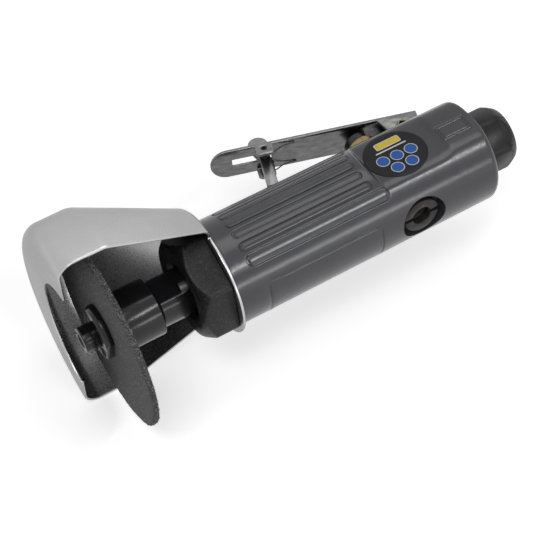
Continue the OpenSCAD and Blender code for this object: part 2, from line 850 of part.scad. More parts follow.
module wheel_screw() {
    socket_depth = 3;
    color([0.06, 0.06, 0.06]) difference() {
        union() {
            cone_rod(flange_front_x - screw_head_len, flange_front_x - screw_head_len + 0.4,
                screw_head_r - 0.4, screw_head_r);
            rod(flange_front_x - screw_head_len + 0.4, flange_front_x, screw_head_r);
            rod(flange_front_x - over, flange_front_x + screw_len, screw_r);
        }
        translate([flange_front_x - screw_head_len - over, 0, 0]) about_axis()
            cylinder(h = socket_depth + over, r = screw_socket / 2 / cos(30), $fn = 6);
    }
}

// Air inlet and exhaust
inlet_bore_r = inlet_thread_r - 0.7;

module air_inlet() {
    taper_len = 3.6;
    hex_turn = 40;
    color([0.07, 0.07, 0.07]) difference() {
        union() {
            intersection() {
                hex_rod(rear_x + face_gap, 0, inlet_flats, inlet_corner_r, hex_turn);
                union() {
                    rod(rear_x, -taper_len, inlet_corner_r);
                    cone_rod(-taper_len, 0, inlet_corner_r, inlet_mouth_r);
                }
            }
            rod(rear_x - inlet_spigot_len, rear_x + over, inlet_spigot_r);
        }
        rod(-inlet_thread_len, over, inlet_thread_r);
        rod(rear_x - inlet_spigot_len - over, -inlet_thread_len + over, inlet_bore_r);
        seal_ring(inlet_seal_x, inlet_spigot_r - seal_wire_r, seal_wire_r + seat_gap);
    }
}

inlet_seal_x = rear_x - inlet_spigot_len + 2;

module inlet_seal() {
    color("black") seal_ring(inlet_seal_x, inlet_spigot_r - seal_wire_r, seal_wire_r);
}

module inlet_screen() {
    screen_t = 0.8;
    x = -inlet_thread_len - 1;
    color("silver") difference() {
        rod(x - screen_t, x, inlet_bore_r - seat_gap);
        rod(x - screen_t - over, x + over, 0.45);
        for (ring = [1:3], i = [0:6 * ring - 1])
            side_rod(x - screen_t - over, x + over, 0.45, 1.35 * ring, 60 * i / ring);
    }
}

module exhaust_silencer() {
    color("beige") tube(rear_x - chamber_len + face_gap, rear_x - cover_inset - cover_t - face_gap,
        chamber_in_r + seat_gap, chamber_out_r - 0.3);
}

module exhaust_cover() {
    color([0.12, 0.12, 0.12]) difference() {
        tube(rear_x - cover_inset - cover_t, rear_x - cover_inset, chamber_in_r + seat_gap,
            chamber_out_r - seat_gap);
        for (i = [0:13])
            side_rod(rear_x - cover_inset - cover_t - over, rear_x + over, 0.8, chamber_out_r - 1.6, 360 * i / 14);
    }
}

// Throttle valve, drawn about the valve's own axis
module at_valve() {
    translate([valve_x, 0, 0]) children();
}

module valve_bush() {
    bevel = 0.6;
    color("goldenrod") at_valve() difference() {
        union() {
            post(bush_foot, bush_top - bevel, valve_bore_r - seat_gap);
            translate([0, bush_top - bevel, 0]) upright()
                cylinder(h = bevel, r1 = valve_bore_r - seat_gap, r2 = valve_bore_r - bevel);
        }
        post(plunger_foot - valve_stroke - 0.3, bush_top + over, plunger_r + run_gap);
        post(bush_foot - over, plunger_foot, rod_r + 0.8);
        difference() {
            post(gallery_y - gallery_h / 2, gallery_y + gallery_h / 2 - 1, valve_bore_r + over);
            post(gallery_y - gallery_h, gallery_y + gallery_h, valve_bore_r - gallery_depth);
        }
        for (turn = [0, 90]) rotate([0, turn, 0])
            translate([0, gallery_y - 0.5, 0]) rod(-valve_bore_r, valve_bore_r, 1.5);
    }
}

module valve_plunger() {
    color([0.06, 0.06, 0.06]) at_valve() difference() {
        union() {
            intersection() {
                post(plunger_foot, dome_y + dome_r + over, plunger_r);
                union() {
                    post(plunger_foot, dome_y, plunger_r + over);
                    translate([0, dome_y, 0]) sphere(dome_r, $fn = 96);
                }
            }
            post(seat_foot, plunger_foot + over, rod_r);
            post(spring_top, seat_foot, seat_r - 0.3);
            post(spring_top - guide_len, spring_top + over, guide_r);
        }
        post_seal(plunger_seal_y, plunger_r - plunger_seal_r, plunger_seal_r + seat_gap);
    }
}

module plunger_seal() {
    color("black") at_valve() post_seal(plunger_seal_y, plunger_r - plunger_seal_r, plunger_seal_r);
}

module valve_seat() {
    color("dimgray") at_valve() difference() {
        post(seat_foot, seat_top, seat_r);
        post(seat_foot - over, seat_top + over, rod_r + seat_gap);
    }
}

spring_foot = sleeve_floor + face_gap;
valve_helix = [for (i = [0:8 * valve_turns]) let (a = 45 * i, h = spring_top - face_gap - spring_foot)
    [valve_spring_r * cos(a), spring_foot + valve_wire_r + (h - 2 * valve_wire_r) * i / (8 * valve_turns),
     valve_spring_r * sin(a)]];

module valve_spring() {
    echo(valve_spring_gap = wire_gap(valve_helix, 5) - 2 * valve_wire_r);
    color("lightsteelblue") at_valve() wire(valve_helix, [for (p = valve_helix) [p[0], 0, p[2]]],
        valve_wire_r);
}

// Regulator: a sleeve in the foot of the valve bore with a slotted head
module regulator() {
    head_low = -recess_y - face_gap - regulator_head_t;
    color([0.25, 0.23, 0.22]) at_valve() difference() {
        union() {
            post(-recess_y - face_gap - over, sleeve_top, sleeve_r);
            post(head_low, -recess_y - face_gap, regulator_head_r);
        }
        post(sleeve_floor, sleeve_top + over, valve_bore_r - 1.4);
        rod(0, valve_bore_r + over, passage_r - 1.2);
        post(head_low - over, head_low + 3.5, regulator_hole_r);
        translate([-regulator_head_r - over, head_low - over, -regulator_slot / 2])
            cube([2 * (regulator_head_r + over), over + 1.4, regulator_slot]);
        post_seal(regulator_seal_y, sleeve_r - seal_wire_r, seal_wire_r + seat_gap);
        difference() {
            post(clip_y - 2 * face_gap, clip_y + clip_t + 2 * face_gap, valve_bore_r + over);
            post(clip_y - over, clip_y + clip_t + over, valve_bore_r - 0.9);
        }
    }
}

module regulator_seal() {
    color("black") at_valve() post_seal(regulator_seal_y, sleeve_r - seal_wire_r, seal_wire_r);
}

module regulator_clip() {
    color("silver") at_valve() difference() {
        post(clip_y, clip_y + clip_t, valve_bore_r + clip_bite);
        post(clip_y - over, clip_y + clip_t + over, valve_bore_r - 0.9 + run_gap);
        translate([-valve_bore_r - 2, clip_y - over, -1.5]) cube([4, clip_t + 2 * over, 3]);
    }
}

// Lever: a folded strip with a channel at its pin and two ears for the latch's pin
module lever_outline() {
    union() {
        translate([-lever_len + lever_w / 2, -lever_w / 2])
            square([lever_len - lever_w / 2 + lever_rear, lever_w]);
        translate([-lever_len + lever_w / 2, 0]) circle(lever_w / 2);
    }
}

module lever_side(points, hole_x, hole_y, hole_r) {
    for (side = [0, 1]) mirror([0, 0, side]) translate([0, 0, lever_w / 2 - lever_sheet])
        linear_extrude(lever_sheet) difference() {
            polygon(points);
            translate([hole_x, hole_y]) circle(hole_r);
        }
}

module lever() {
    under = lever_top - lever_sheet / 2;
    ear_low = lever_top - ear_drop;
    color([0.8, 0.8, 0.78]) lever_frame() union() {
        difference() {
            translate([0, lever_top, 0]) rotate([90, 0, 0]) linear_extrude(lever_sheet) lever_outline();
            translate([latch_x - slot_front, lever_top - lever_sheet - over, -slot_w / 2])
                cube([slot_front + slot_rear, lever_sheet + 2 * over, slot_w]);
        }
        lever_side([[flange_front, under], [flange_front + flange_slope, flange_low],
            [lever_rear - 1, flange_low], [lever_rear, flange_low + 1], [lever_rear, under]],
            0, 0, lever_pin_r + run_gap);
        lever_side([[latch_x - ear_half, under], [latch_x - ear_half, ear_low + 1],
            [latch_x - ear_half + 1, ear_low], [latch_x + ear_half - 1, ear_low],
            [latch_x + ear_half, ear_low + 1], [latch_x + ear_half, under]],
            latch_x, latch_y, latch_pin_r + seat_gap);
    }
}

// A rolled pin across the tool, with the gap of its rolled sheet
module rolled_pin(r, wall, len, split) {
    slab(len) difference() {
        circle(r);
        circle(r - wall);
        translate([0, -split / 2]) square([r + over, split]);
    }
}

module lever_pin() {
    color("darkkhaki") translate([pivot_x, pivot_y, 0]) rotate([0, 0, 100])
        rolled_pin(lever_pin_r, lever_pin_wall, lever_w + 0.6, 0.5);
}

module latch_pin() {
    color([0.15, 0.15, 0.15]) latch_frame() rotate([0, 0, 200])
        rolled_pin(latch_pin_r, 0.4, lever_w, 0.3);
}

// Latch: a narrow folded blade with a round tab over the lever and a foot below it
module latch_side() {
    half = latch_leg_w / 2;
    tab_y = latch_tab - latch_tab_w / 2;
    union() {
        polygon(concat([[half, 0]],
            arc([half - foot_round, foot_round - latch_leg], foot_round, 0, -90, 4),
            arc([foot_round - half, foot_round - latch_leg], foot_round, -90, -180, 4),
            [[-half, 0], [-half, latch_drop], [half - latch_lean, latch_drop]]));
        polygon([[-half, 0], [half, 0], [latch_tab_w / 2 - latch_lean, tab_y],
            [-latch_tab_w / 2 - latch_lean, tab_y]]);
        translate([-latch_lean, tab_y]) circle(latch_tab_w / 2);
    }
}

// Rim that joins the latch's two plates round the top of its tab
module tab_rim() {
    tab_r = latch_tab_w / 2;
    translate([-latch_lean, latch_tab - tab_r]) difference() {
        circle(tab_r);
        circle(tab_r - latch_sheet);
        translate([-tab_r - over, -tab_r - over]) square([2 * (tab_r + over), tab_r + over]);
    }
}

module latch() {
    color([0.6, 0.6, 0.6]) latch_frame() difference() {
        union() {
            for (side = [0, 1]) mirror([0, 0, side]) translate([0, 0, latch_t / 2 - latch_sheet])
                linear_extrude(latch_sheet) latch_side();
            slab(latch_t) translate([-latch_leg_w / 2, foot_round - latch_leg])
                square([latch_sheet, latch_leg - foot_round]);
            slab(latch_t) tab_rim();
        }
        slab(latch_t + over) circle(latch_pin_r + run_gap);
    }
}

// Latch spring: two coils on the latch's pin, joined by a bow behind the latch's leg
coil_out = lever_w / 2 - lever_sheet - latch_wire_r - 0.35;
coil_in = latch_t / 2 + latch_wire_r + 0.35;
coil_steps = round(8 * latch_turns);
bow_x = latch_leg_w / 2 + latch_wire_r + 0.1;
bow_y = -5;
arm_end = [12, latch_drop - lever_sheet - latch_wire_r - 0.15, coil_out];

coil_half = concat(
    [arm_end, arm_end * 0.62 + [0, 0, coil_out * 0.38], [3.2, -1.35, coil_out]],
    [for (i = [0:coil_steps]) let (a = -90 - 360 * latch_turns * i / coil_steps)
        [latch_spring_r * cos(a), latch_spring_r * sin(a),
         coil_out + (coil_in - coil_out) * i / coil_steps]],
    [[latch_spring_r + 0.3, -1.4, coil_in], [bow_x, bow_y + 1.6, coil_in],
     [bow_x, bow_y + 0.45, coil_in - 0.15], [bow_x, bow_y, coil_in - 0.7]]);
coil_all = concat(coil_half, [for (p = reversed(coil_half)) [p[0], p[1], -p[2]]]);
coil_bow = len(coil_half);
coil_normals = [for (i = [0:len(coil_all) - 1]) let (
    t = unit(coil_all[min(i + 1, len(coil_all) - 1)] - coil_all[max(i - 1, 0)]),
    side = i < coil_bow ? 1 : -1)
    abs(i - coil_bow + 0.5) < 4 ? [-1, 0, 0] : side * cross(t, [0, 0, 1])];

module latch_spring() {
    echo(latch_spring_gap = wire_gap(coil_all, 5) - 2 * latch_wire_r);
    color([0.1, 0.1, 0.1]) latch_frame() wire(coil_all, coil_normals, latch_wire_r);
}

housing();
side_label();
clamp_nut();
guard();
front_end_plate();
motor_cylinder();
locating_pin();
rear_end_plate();
motor_gasket();
front_bearing_outer();
front_bearing_cage();
front_bearing_balls();
front_bearing_inner();
rear_bearing_outer();
rear_bearing_cage();
rear_bearing_balls();
rear_bearing_inner();
rotor();
rotor_vanes();
drive_hub();
cutting_disc();
outer_flange();
wheel_screw();
air_inlet();
inlet_screen();
inlet_seal();
exhaust_silencer();
exhaust_cover();
valve_bush();
valve_plunger();
plunger_seal();
valve_seat();
valve_spring();
regulator();
regulator_seal();
regulator_clip();
lever();
lever_pin();
latch();
latch_pin();
latch_spring();
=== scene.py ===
# %% [markdown]
# # A hand-held air cut-off tool
# The frame holds the tool's real solids, one node for each piece. This lesson dresses them: it
# gives every piece its finish, rebuilds the pieces whose soft forms a plain solid can't show, and
# sets up a plain studio round them. The scene is in metres, X runs along the tool, Y points to
# the lever and Z is up.

# %% Load the frame
import json
import math

import bmesh
import bpy
import numpy as np
from mathutils import Matrix, Vector

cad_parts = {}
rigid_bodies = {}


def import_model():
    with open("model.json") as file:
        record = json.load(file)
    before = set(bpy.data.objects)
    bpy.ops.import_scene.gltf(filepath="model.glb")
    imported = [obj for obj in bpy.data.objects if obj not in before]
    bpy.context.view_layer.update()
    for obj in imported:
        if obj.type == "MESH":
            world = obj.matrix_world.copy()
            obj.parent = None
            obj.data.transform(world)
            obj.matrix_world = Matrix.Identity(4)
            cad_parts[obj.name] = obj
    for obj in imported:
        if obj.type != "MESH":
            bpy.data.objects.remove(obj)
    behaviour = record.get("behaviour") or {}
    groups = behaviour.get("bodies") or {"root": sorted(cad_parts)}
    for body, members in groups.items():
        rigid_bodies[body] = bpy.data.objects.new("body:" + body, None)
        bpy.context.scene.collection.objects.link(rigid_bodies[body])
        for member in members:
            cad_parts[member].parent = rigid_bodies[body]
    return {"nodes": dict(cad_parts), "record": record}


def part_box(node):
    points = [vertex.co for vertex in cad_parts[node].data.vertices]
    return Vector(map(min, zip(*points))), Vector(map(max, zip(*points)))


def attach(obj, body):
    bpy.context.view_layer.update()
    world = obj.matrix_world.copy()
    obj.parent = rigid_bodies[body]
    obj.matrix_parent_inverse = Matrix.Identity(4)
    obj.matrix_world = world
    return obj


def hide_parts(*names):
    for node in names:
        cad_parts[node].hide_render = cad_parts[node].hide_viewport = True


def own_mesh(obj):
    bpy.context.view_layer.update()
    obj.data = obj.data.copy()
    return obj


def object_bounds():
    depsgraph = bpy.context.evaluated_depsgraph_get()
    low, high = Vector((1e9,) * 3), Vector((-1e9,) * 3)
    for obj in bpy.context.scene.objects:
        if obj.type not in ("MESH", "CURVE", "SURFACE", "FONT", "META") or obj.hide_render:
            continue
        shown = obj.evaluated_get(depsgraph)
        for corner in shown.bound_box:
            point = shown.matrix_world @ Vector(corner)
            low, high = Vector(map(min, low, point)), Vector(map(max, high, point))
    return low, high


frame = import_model()
cad_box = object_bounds()
NODES = frame["nodes"]
BODY = {n: b for b, members in frame["record"]["behaviour"]["bodies"].items() for n in members}
MM = 0.001
print("nodes", len(NODES), "box in mm", [round(v / MM, 1) for c in cad_box for v in c])

# %% [markdown]
# ## Camera
# The photograph looks down on the tool from the wheel's end, rather close to it, so the lens is
# moderately long. The vectors below are the camera's right, up and back directions and its place,
# found by fitting the edges of the wheel, the nut and the barrel.

# %% Camera
scene = bpy.context.scene
camera = bpy.data.objects.new("photo_camera", bpy.data.cameras.new("photo_camera"))
scene.collection.objects.link(camera)
camera.data.sensor_width = 36
camera.data.lens = 108.07
camera.data.clip_start, camera.data.clip_end = 0.01, 20
right = Vector((0.86097, -0.50193, -0.08246))
up = Vector((0.42913, 0.62972, 0.64753))
back = Vector((-0.27309, -0.59289, 0.75757))
stand = (-0.2613, -0.3435, 0.4300)
camera.matrix_world = Matrix.Translation(stand) @ Matrix((right, up, back)).transposed().to_4x4()
scene.camera = camera
scene.view_settings.view_transform = "Standard"
print("camera looks down by", round(math.degrees(math.asin(back.z)), 1), "degrees")

# %% [markdown]
# ## Studio
# A product shot has soft light from large panels and a white ground. The world is white to the
# camera and to reflections, but gives less light to the object, so that colours keep their depth.
# The floor does the same: it looks white, and still takes the object's shadow. Its glow grows with
# the distance, so that no horizon shows.

# %% Node helpers
def give(tree, node, *values, **inputs):
    """Sets a node's inputs, in order or by name, to values or to sockets."""
    pairs = list(zip(node.inputs, values))
    pairs += [(node.inputs[key.replace("_", " ")], value) for key, value in inputs.items()]
    for socket, value in pairs:
        if isinstance(value, bpy.types.NodeSocket):
            tree.links.new(value, socket)
        elif value is not None:
            socket.default_value = value
    return node


def make(tree, kind, *values, options=None, **inputs):
    """A new node with its options and inputs set."""
    node = tree.nodes.new(kind)
    for key, value in (options or {}).items():
        setattr(node, key, value)
    return give(tree, node, *values, **inputs)


def spread(tree, value, low, high, start=0.3, end=0.7):
    """Maps the range from start to end, of a noise value if not given, to another range."""
    return make(tree, "ShaderNodeMapRange", Value=value, From_Min=start, From_Max=end,
                To_Min=low, To_Max=high).outputs["Result"]


def where(tree):
    """A place on the object's own coordinates."""
    return make(tree, "ShaderNodeTexCoord").outputs["Object"]


def seen_mix(tree, unseen, seen):
    """Shows one shader to camera, glossy and transmission rays, and another to all the rest."""
    path = make(tree, "ShaderNodeLightPath").outputs
    total = path["Is Camera Ray"]
    for name in ("Is Glossy Ray", "Is Transmission Ray"):
        total = make(tree, "ShaderNodeMath", total, path[name],
                     options={"operation": "MAXIMUM"}).outputs[0]
    return make(tree, "ShaderNodeMixShader", total, unseen, seen).outputs[0]


print("node helpers ready")

# %% World and floor
WHITE = (1, 1, 1, 1)
FILL = 0.30
FLOOR_SIZE, FLOOR_GAP = 6, 0.0005
world = bpy.data.worlds.new("white_studio")
world.use_nodes = True
scene.world = world
tree = world.node_tree
tree.nodes.clear()
fill, shown = (make(tree, "ShaderNodeBackground", Color=WHITE, Strength=strength).outputs[0]
               for strength in (FILL, 1.0))
make(tree, "ShaderNodeOutputWorld", Surface=seen_mix(tree, fill, shown))

floor_z = cad_box[0].z - FLOOR_GAP
bpy.ops.mesh.primitive_plane_add(size=FLOOR_SIZE, location=(-0.09, 0, floor_z))
floor = bpy.context.object
floor.name = "studio_floor"
white = bpy.data.materials.new("studio_white")
white.use_nodes = True
tree = white.node_tree
plain = give(tree, tree.nodes["Principled BSDF"], Base_Color=(0.95, 0.95, 0.95, 1), Roughness=0.9,
             Specular_IOR_Level=0.0).outputs[0]
distance = make(tree, "ShaderNodeVectorMath", where(tree), options={"operation": "LENGTH"})
glow = make(tree, "ShaderNodeEmission", Color=WHITE, Strength=spread(
    tree, distance.outputs["Value"], 0.42, 0.85, 0.25, 1.2)).outputs[0]
bright = make(tree, "ShaderNodeAddShader", plain, glow).outputs[0]
give(tree, tree.nodes["Material Output"], Surface=seen_mix(tree, plain, bright))
floor.data.materials.append(white)
print("floor at", round(floor_z / MM, 1), "mm")

# %% Soft lights
def soft_panel(name, place, size, watts):
    """A rectangular lamp that looks at the middle of the tool."""
    lamp = bpy.data.objects.new(name, bpy.data.lights.new(name, "AREA"))
    scene.collection.objects.link(lamp)
    lamp.data.shape = "RECTANGLE"
    lamp.data.size, lamp.data.size_y = size
    lamp.data.energy = watts
    lamp.location = place
    lamp.rotation_euler = (MIDDLE - Vector(place)).to_track_quat("-Z", "Y").to_euler()


MIDDLE = Vector((-0.09, 0, 0))
soft_panel("key_panel", (-0.45, -0.35, 0.95), (0.4, 0.3), 2.6)
soft_panel("top_panel", (0.25, 0.15, 1.0), (0.5, 0.5), 1.5)
soft_panel("front_strip", (0.20, -0.72, 0.70), (0.6, 0.08), 3.0)
soft_panel("low_panel", (0.15, -0.95, 0.14), (0.5, 0.12), 1.3)

# %% [markdown]
# ## Finishes
# Each finish on the real tool is a colour with small changes, a gloss with small changes and a
# fine surface texture. One helper builds that from noise on the object's own coordinates, so it
# keeps its real scale and doesn't slide when a piece moves. Values that are the same all over
# are set on the shader itself.

# %% Finish helper
def noise(tree, scale, detail=3.0, stretch=None):
    """Noise of a size given by its features in a metre, stretched along an axis if asked."""
    place = where(tree)
    if stretch:
        place = make(tree, "ShaderNodeMapping", Vector=place, Scale=stretch).outputs[0]
    return make(tree, "ShaderNodeTexNoise", Vector=place, Scale=scale,
                Detail=detail).outputs["Fac"]


def blend(tree, factor, a, b):
    """Mixes two colours, inputs 6 and 7, given as sockets, as values or as a number for a grey."""
    a, b = ((c, c, c) if isinstance(c, float) else c for c in (a, b))
    a, b = ((*c, 1) if isinstance(c, tuple) else c for c in (a, b))
    return make(tree, "ShaderNodeMix", factor, *[None] * 5, a, b,
                options={"data_type": "RGBA"}).outputs[2]


FINISHES = {}


def finish(name, dark, pale, rough, metal=0.0, spec=0.5, patch=180, grain=2500, depth=0.00002,
           strength=0.4, stretch=None, specks=None, edge=1.0):
    """A finish between two colours, with patchy gloss, a fine grain and pale specks if asked."""
    made = bpy.data.materials.new(name)
    made.use_nodes = True
    tree = made.node_tree
    colour = blend(tree, spread(tree, noise(tree, patch, stretch=stretch), 0, 1), dark, pale)
    if specks:
        scale, start, shade = specks
        dots = spread(tree, noise(tree, scale, 2.0), 0, 1, start, start + 0.1)
        colour = blend(tree, dots, colour, shade)
    fine = noise(tree, grain, 2.0, stretch)
    relief = make(tree, "ShaderNodeBump", Strength=strength, Distance=depth, Height=fine)
    give(tree, tree.nodes["Principled BSDF"], Metallic=metal, Specular_IOR_Level=spec,
         Specular_Tint=(edge, edge, edge, 1), Base_Color=colour,
         Roughness=spread(tree, fine, *rough), Normal=relief.outputs["Normal"])
    FINISHES[name] = made


print("finish helper ready")

# %% [markdown]
# ## The finishes of this tool
# The body is grey paint over cast metal, the nut and the inlet bush are black oxide with a sandy
# grain, the hub and the screws are smooth black oxide, and the lever and the latch are ground
# steel sheet.

# %% Finishes
finish("housing_grey", (0.034, 0.034, 0.041), (0.042, 0.042, 0.050), (0.17, 0.24), spec=0.45,
       patch=60, grain=700, strength=0.2)
finish("label_black", (0.006, 0.006, 0.007), (0.010, 0.010, 0.011), (0.30, 0.38), spec=0.18,
       patch=400, grain=3000, strength=0.15)
finish("nut_black", (0.005, 0.005, 0.006), (0.011, 0.011, 0.012), (0.26, 0.5), spec=0.22,
       patch=900, grain=1500, depth=0.00012, strength=0.8, specks=(2200, 0.56, 0.035))
finish("hub_black", (0.005, 0.005, 0.006), (0.010, 0.010, 0.011), (0.12, 0.22), spec=0.34,
       patch=700, grain=2600, depth=0.00003, strength=0.3, stretch=(8, 1, 1))
finish("inlet_black", (0.006, 0.006, 0.0065), (0.011, 0.011, 0.012), (0.28, 0.38), spec=0.22,
       patch=500, grain=2600, depth=0.00004, strength=0.3)
finish("cover_black", (0.008, 0.008, 0.009), (0.014, 0.014, 0.015), (0.45, 0.6), spec=0.2)
finish("seal_rubber", 0.006, 0.012, (0.55, 0.7), spec=0.3)
finish("silencer_felt", (0.30, 0.29, 0.27), (0.52, 0.51, 0.48), (0.85, 0.95), spec=0.1,
       patch=1500, grain=4000, depth=0.0002, strength=1.0)
for name, gloss in (("plunger_black", (0.22, 0.32)), ("latch_pin_black", (0.3, 0.4))):
    finish(name, (0.008, 0.008, 0.009), (0.013, 0.013, 0.014), gloss, spec=0.4)
finish("vane_resin", (0.20, 0.11, 0.05), (0.28, 0.16, 0.08), (0.4, 0.55), patch=600,
       stretch=(1, 6, 6))
finish("gasket_fibre", (0.30, 0.26, 0.19), (0.42, 0.37, 0.28), (0.7, 0.85), spec=0.2, patch=1500)
for name, shade, gloss in (
        ("motor_steel", 0.42, (0.22, 0.36)), ("bearing_steel", 0.5, (0.12, 0.2)),
        ("pin_steel", 0.5, (0.2, 0.3)), ("spring_steel", 0.05, (0.25, 0.35))):
    finish(name, shade * 0.86, shade, gloss, metal=1, patch=400, grain=3000, depth=0.00001,
           strength=0.3)
finish("lever_steel", 0.15, (0.23, 0.23, 0.228), (0.20, 0.34), metal=1, patch=160, grain=2200,
       strength=0.3, stretch=(1, 5, 5), edge=0.8)
finish("latch_steel", 0.20, 0.29, (0.28, 0.42), metal=1, patch=260, grain=2600, strength=0.3,
       edge=0.8)
for name, dark, pale in (("bush_brass", (0.22, 0.155, 0.065), (0.34, 0.25, 0.12)),
                         ("cage_brass", (0.52, 0.35, 0.13), (0.70, 0.50, 0.22))):
    finish(name, dark, pale, (0.25, 0.38), metal=1, patch=700)
finish("pin_brassy", (0.22, 0.17, 0.09), (0.32, 0.26, 0.15), (0.28, 0.4), metal=1, patch=900)
finish("regulator_brown", (0.009, 0.008, 0.007), (0.020, 0.017, 0.015), (0.30, 0.46), spec=0.25,
       patch=600, grain=2200, depth=0.00005)
finish("guard_steel", 0.40, 0.48, (0.24, 0.34), metal=1, patch=36, grain=2600, depth=0.00001,
       strength=0.15, edge=0.65)
finish("wheel_abrasive", (0.022, 0.022, 0.023), (0.058, 0.058, 0.060), (0.6, 0.85), spec=0.3,
       patch=1000, grain=1500, depth=0.0004, strength=1.0, specks=(1900, 0.60, 0.34))
finish("rim_grit", (0.030, 0.030, 0.031), 0.16, (0.35, 0.6), spec=0.4, patch=1100, depth=0.0001,
       strength=0.6)
print("finishes", len(FINISHES))

# %% Give the nodes their finishes
SLOT = {s["node"]: s["material_slot"] for s in frame["record"]["subparts"]}
for name, node in NODES.items():
    for place in node.material_slots:
        place.material = FINISHES[SLOT[name]]
print("nodes dressed", len(SLOT))

# %% [markdown]
# ## Softened copies
# A machined or pressed piece never has a knife edge: light catches a small round on each edge.
# Most solids need no more than that, so a copy of the solid is welded, its flat faces are joined,
# and a narrow bevel goes on every sharp edge. The copy rides where the solid rode, and the solid
# is hidden.

# %% Piece helpers
def new_piece(name, mesh):
    """Puts a mesh into the scene as an object at the origin."""
    piece = bpy.data.objects.new(name, mesh)
    scene.collection.objects.link(piece)
    return piece


def face_outwards(mesh, mend=None):
    """Turns the faces of a mesh outwards, after a step that mends its bmesh if one is given."""
    shape = bmesh.new()
    shape.from_mesh(mesh)
    if mend:
        mend(shape)
    bmesh.ops.recalc_face_normals(shape, faces=shape.faces)
    shape.to_mesh(mesh)
    shape.free()


def from_points(name, points, faces, mend=None):
    """A piece from points in mm and faces."""
    mesh = bpy.data.meshes.new(name)
    mesh.from_pydata((np.asarray(points) * MM).tolist(), [], faces)
    face_outwards(mesh, mend)
    return new_piece(name, mesh)


def tube(n, m, ends="capped"):
    """Faces of n closed rows of m points, with the end rows capped, open or joined in a ring."""
    ring = ends == "ring"
    faces = [(i * m + j, i * m + (j + 1) % m, (i + 1) % n * m + (j + 1) % m, (i + 1) % n * m + j)
             for i in range(n if ring else n - 1) for j in range(m)]
    if ends == "capped":
        faces += [tuple(range(m - 1, -1, -1)), tuple((n - 1) * m + j for j in range(m))]
    return faces


def bake(piece):
    """Turns the evaluated object into a plain mesh and drops its modifiers."""
    done = bpy.data.meshes.new_from_object(piece.evaluated_get(
        bpy.context.evaluated_depsgraph_get()))
    done.name = piece.name
    piece.modifiers.clear()
    piece.data = done


def smooth(piece, angle):
    """Smooth shading up to an angle between faces."""
    piece.data.shade_smooth()
    piece.data.set_sharp_from_angle(angle=math.radians(angle))


def hand_over(piece, node, angle):
    """Lets a piece stand for a CAD node: its finish, shading up to an angle, body and slot."""
    piece.data.materials.clear()
    piece.data.materials.append(FINISHES[SLOT[node]])
    piece.data.polygons.foreach_set("material_index", [0] * len(piece.data.polygons))
    smooth(piece, angle)
    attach(piece, BODY[node])
    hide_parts(node)
    print(piece.name, "faces", len(piece.data.polygons))


print("piece helpers ready")


# %% Softened copy helper
def weld(shape):
    """Joins the loose triangles of a CAD mesh, then its flat faces."""
    bmesh.ops.remove_doubles(shape, verts=shape.verts, dist=0.004 * MM)
    bmesh.ops.dissolve_limit(shape, angle_limit=math.radians(0.6), verts=shape.verts,
                             edges=shape.edges)


def round_edges(piece, width, angle=28):
    """Bevels the sharp edges of a piece, width in mm."""
    bevel = piece.modifiers.new("edge_round", "BEVEL")
    bevel.width = width * MM
    bevel.segments = 2
    bevel.limit_method = "ANGLE"
    bevel.angle_limit = math.radians(angle)
    bevel.use_clamp_overlap = False
    bake(piece)


def soften(node, width):
    """A copy of a node with rounded edges, width in mm."""
    mesh = NODES[node].data.copy()
    mesh.name = node + "_soft"
    face_outwards(mesh, weld)
    piece = new_piece(mesh.name, mesh)
    round_edges(piece, width)
    hand_over(piece, node, 35)


print("softened copy helper ready")

# %% [markdown]
# ## The grip
# The real grip is one casting: a barrel whose sides are milled nearly flat for the label, with soft
# blends between the surfaces, a frame for a panel on its side and long sunken racetracks that hold
# the ribs. A drawing of circles cut by planes can't show the blends. Here the outside is one rule:
# the distance from the axis for each place along and round the tool. The barrel and the flats are
# joined by a soft minimum, and the grooves are taken off it. A grid of points follows the rule,
# with close lines where the detail is fine.

# %% Measures of the grip, in mm
low, high = (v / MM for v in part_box("housing"))
front_x, rear_x = low.x, high.x
front_r, rear_r, nose_round, rear_round, grip_len = 20.0, 19.7, 0.5, 2.5, 109.5
label_low, label_high = (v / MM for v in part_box("side_label"))
label_x = (label_low.x + label_high.x) / 2
flat_z, rear_flat_z, rear_flat_len, flat_len = label_low.z, 17.3, 16.0, 25.0
flat_blend = 1.6
rib = {"count": 6, "first": 55.5, "pitch": 15.2, "start": 7.0, "length": 52.5, "extra": 6.0,
       "width": 4.0, "last": 5.3, "line": 0.8, "depth": 0.5, "edge": 0.38, "rise": 0.56,
       "sink": 0.06}
panel = {"start": 12.0, "length": 46.5, "middle": 189.0, "half": 28.0, "round": 2.2,
         "depth": 0.4, "line": 0.5}
double = {"from_rear": 9.0, "down": 1.6, "halves": ((6.0, 3.6), (5.0, 2.6)), "round": 0.3,
          "depth": 0.28, "line": 0.42}
print("grip from", round(front_x, 1), "to", round(rear_x, 1), "label at", round(label_x, 1))


def rib_places():
    """Angle, length and width of each rib, on both sides."""
    for side in (1, -1):
        for i in range(rib["count"]):
            last = i == rib["count"] - 1
            yield (side * (rib["first"] + i * rib["pitch"]),
                   rib["length"] + (rib["extra"] if last else abs(i - (rib["count"] - 1) / 2)),
                   rib["last"] if last else rib["width"])


# %% The rule for the outside
def ease(t):
    """A soft step from 0 to 1."""
    t = np.clip(t, 0, 1)
    return t * t * (3 - 2 * t)


def soft_min(a, b, blend_width):
    """The smaller of two values, with a round where they cross."""
    h = np.clip(blend_width - np.abs(a - b), 0, None) / blend_width
    return np.minimum(a, b) - h * h * blend_width / 4


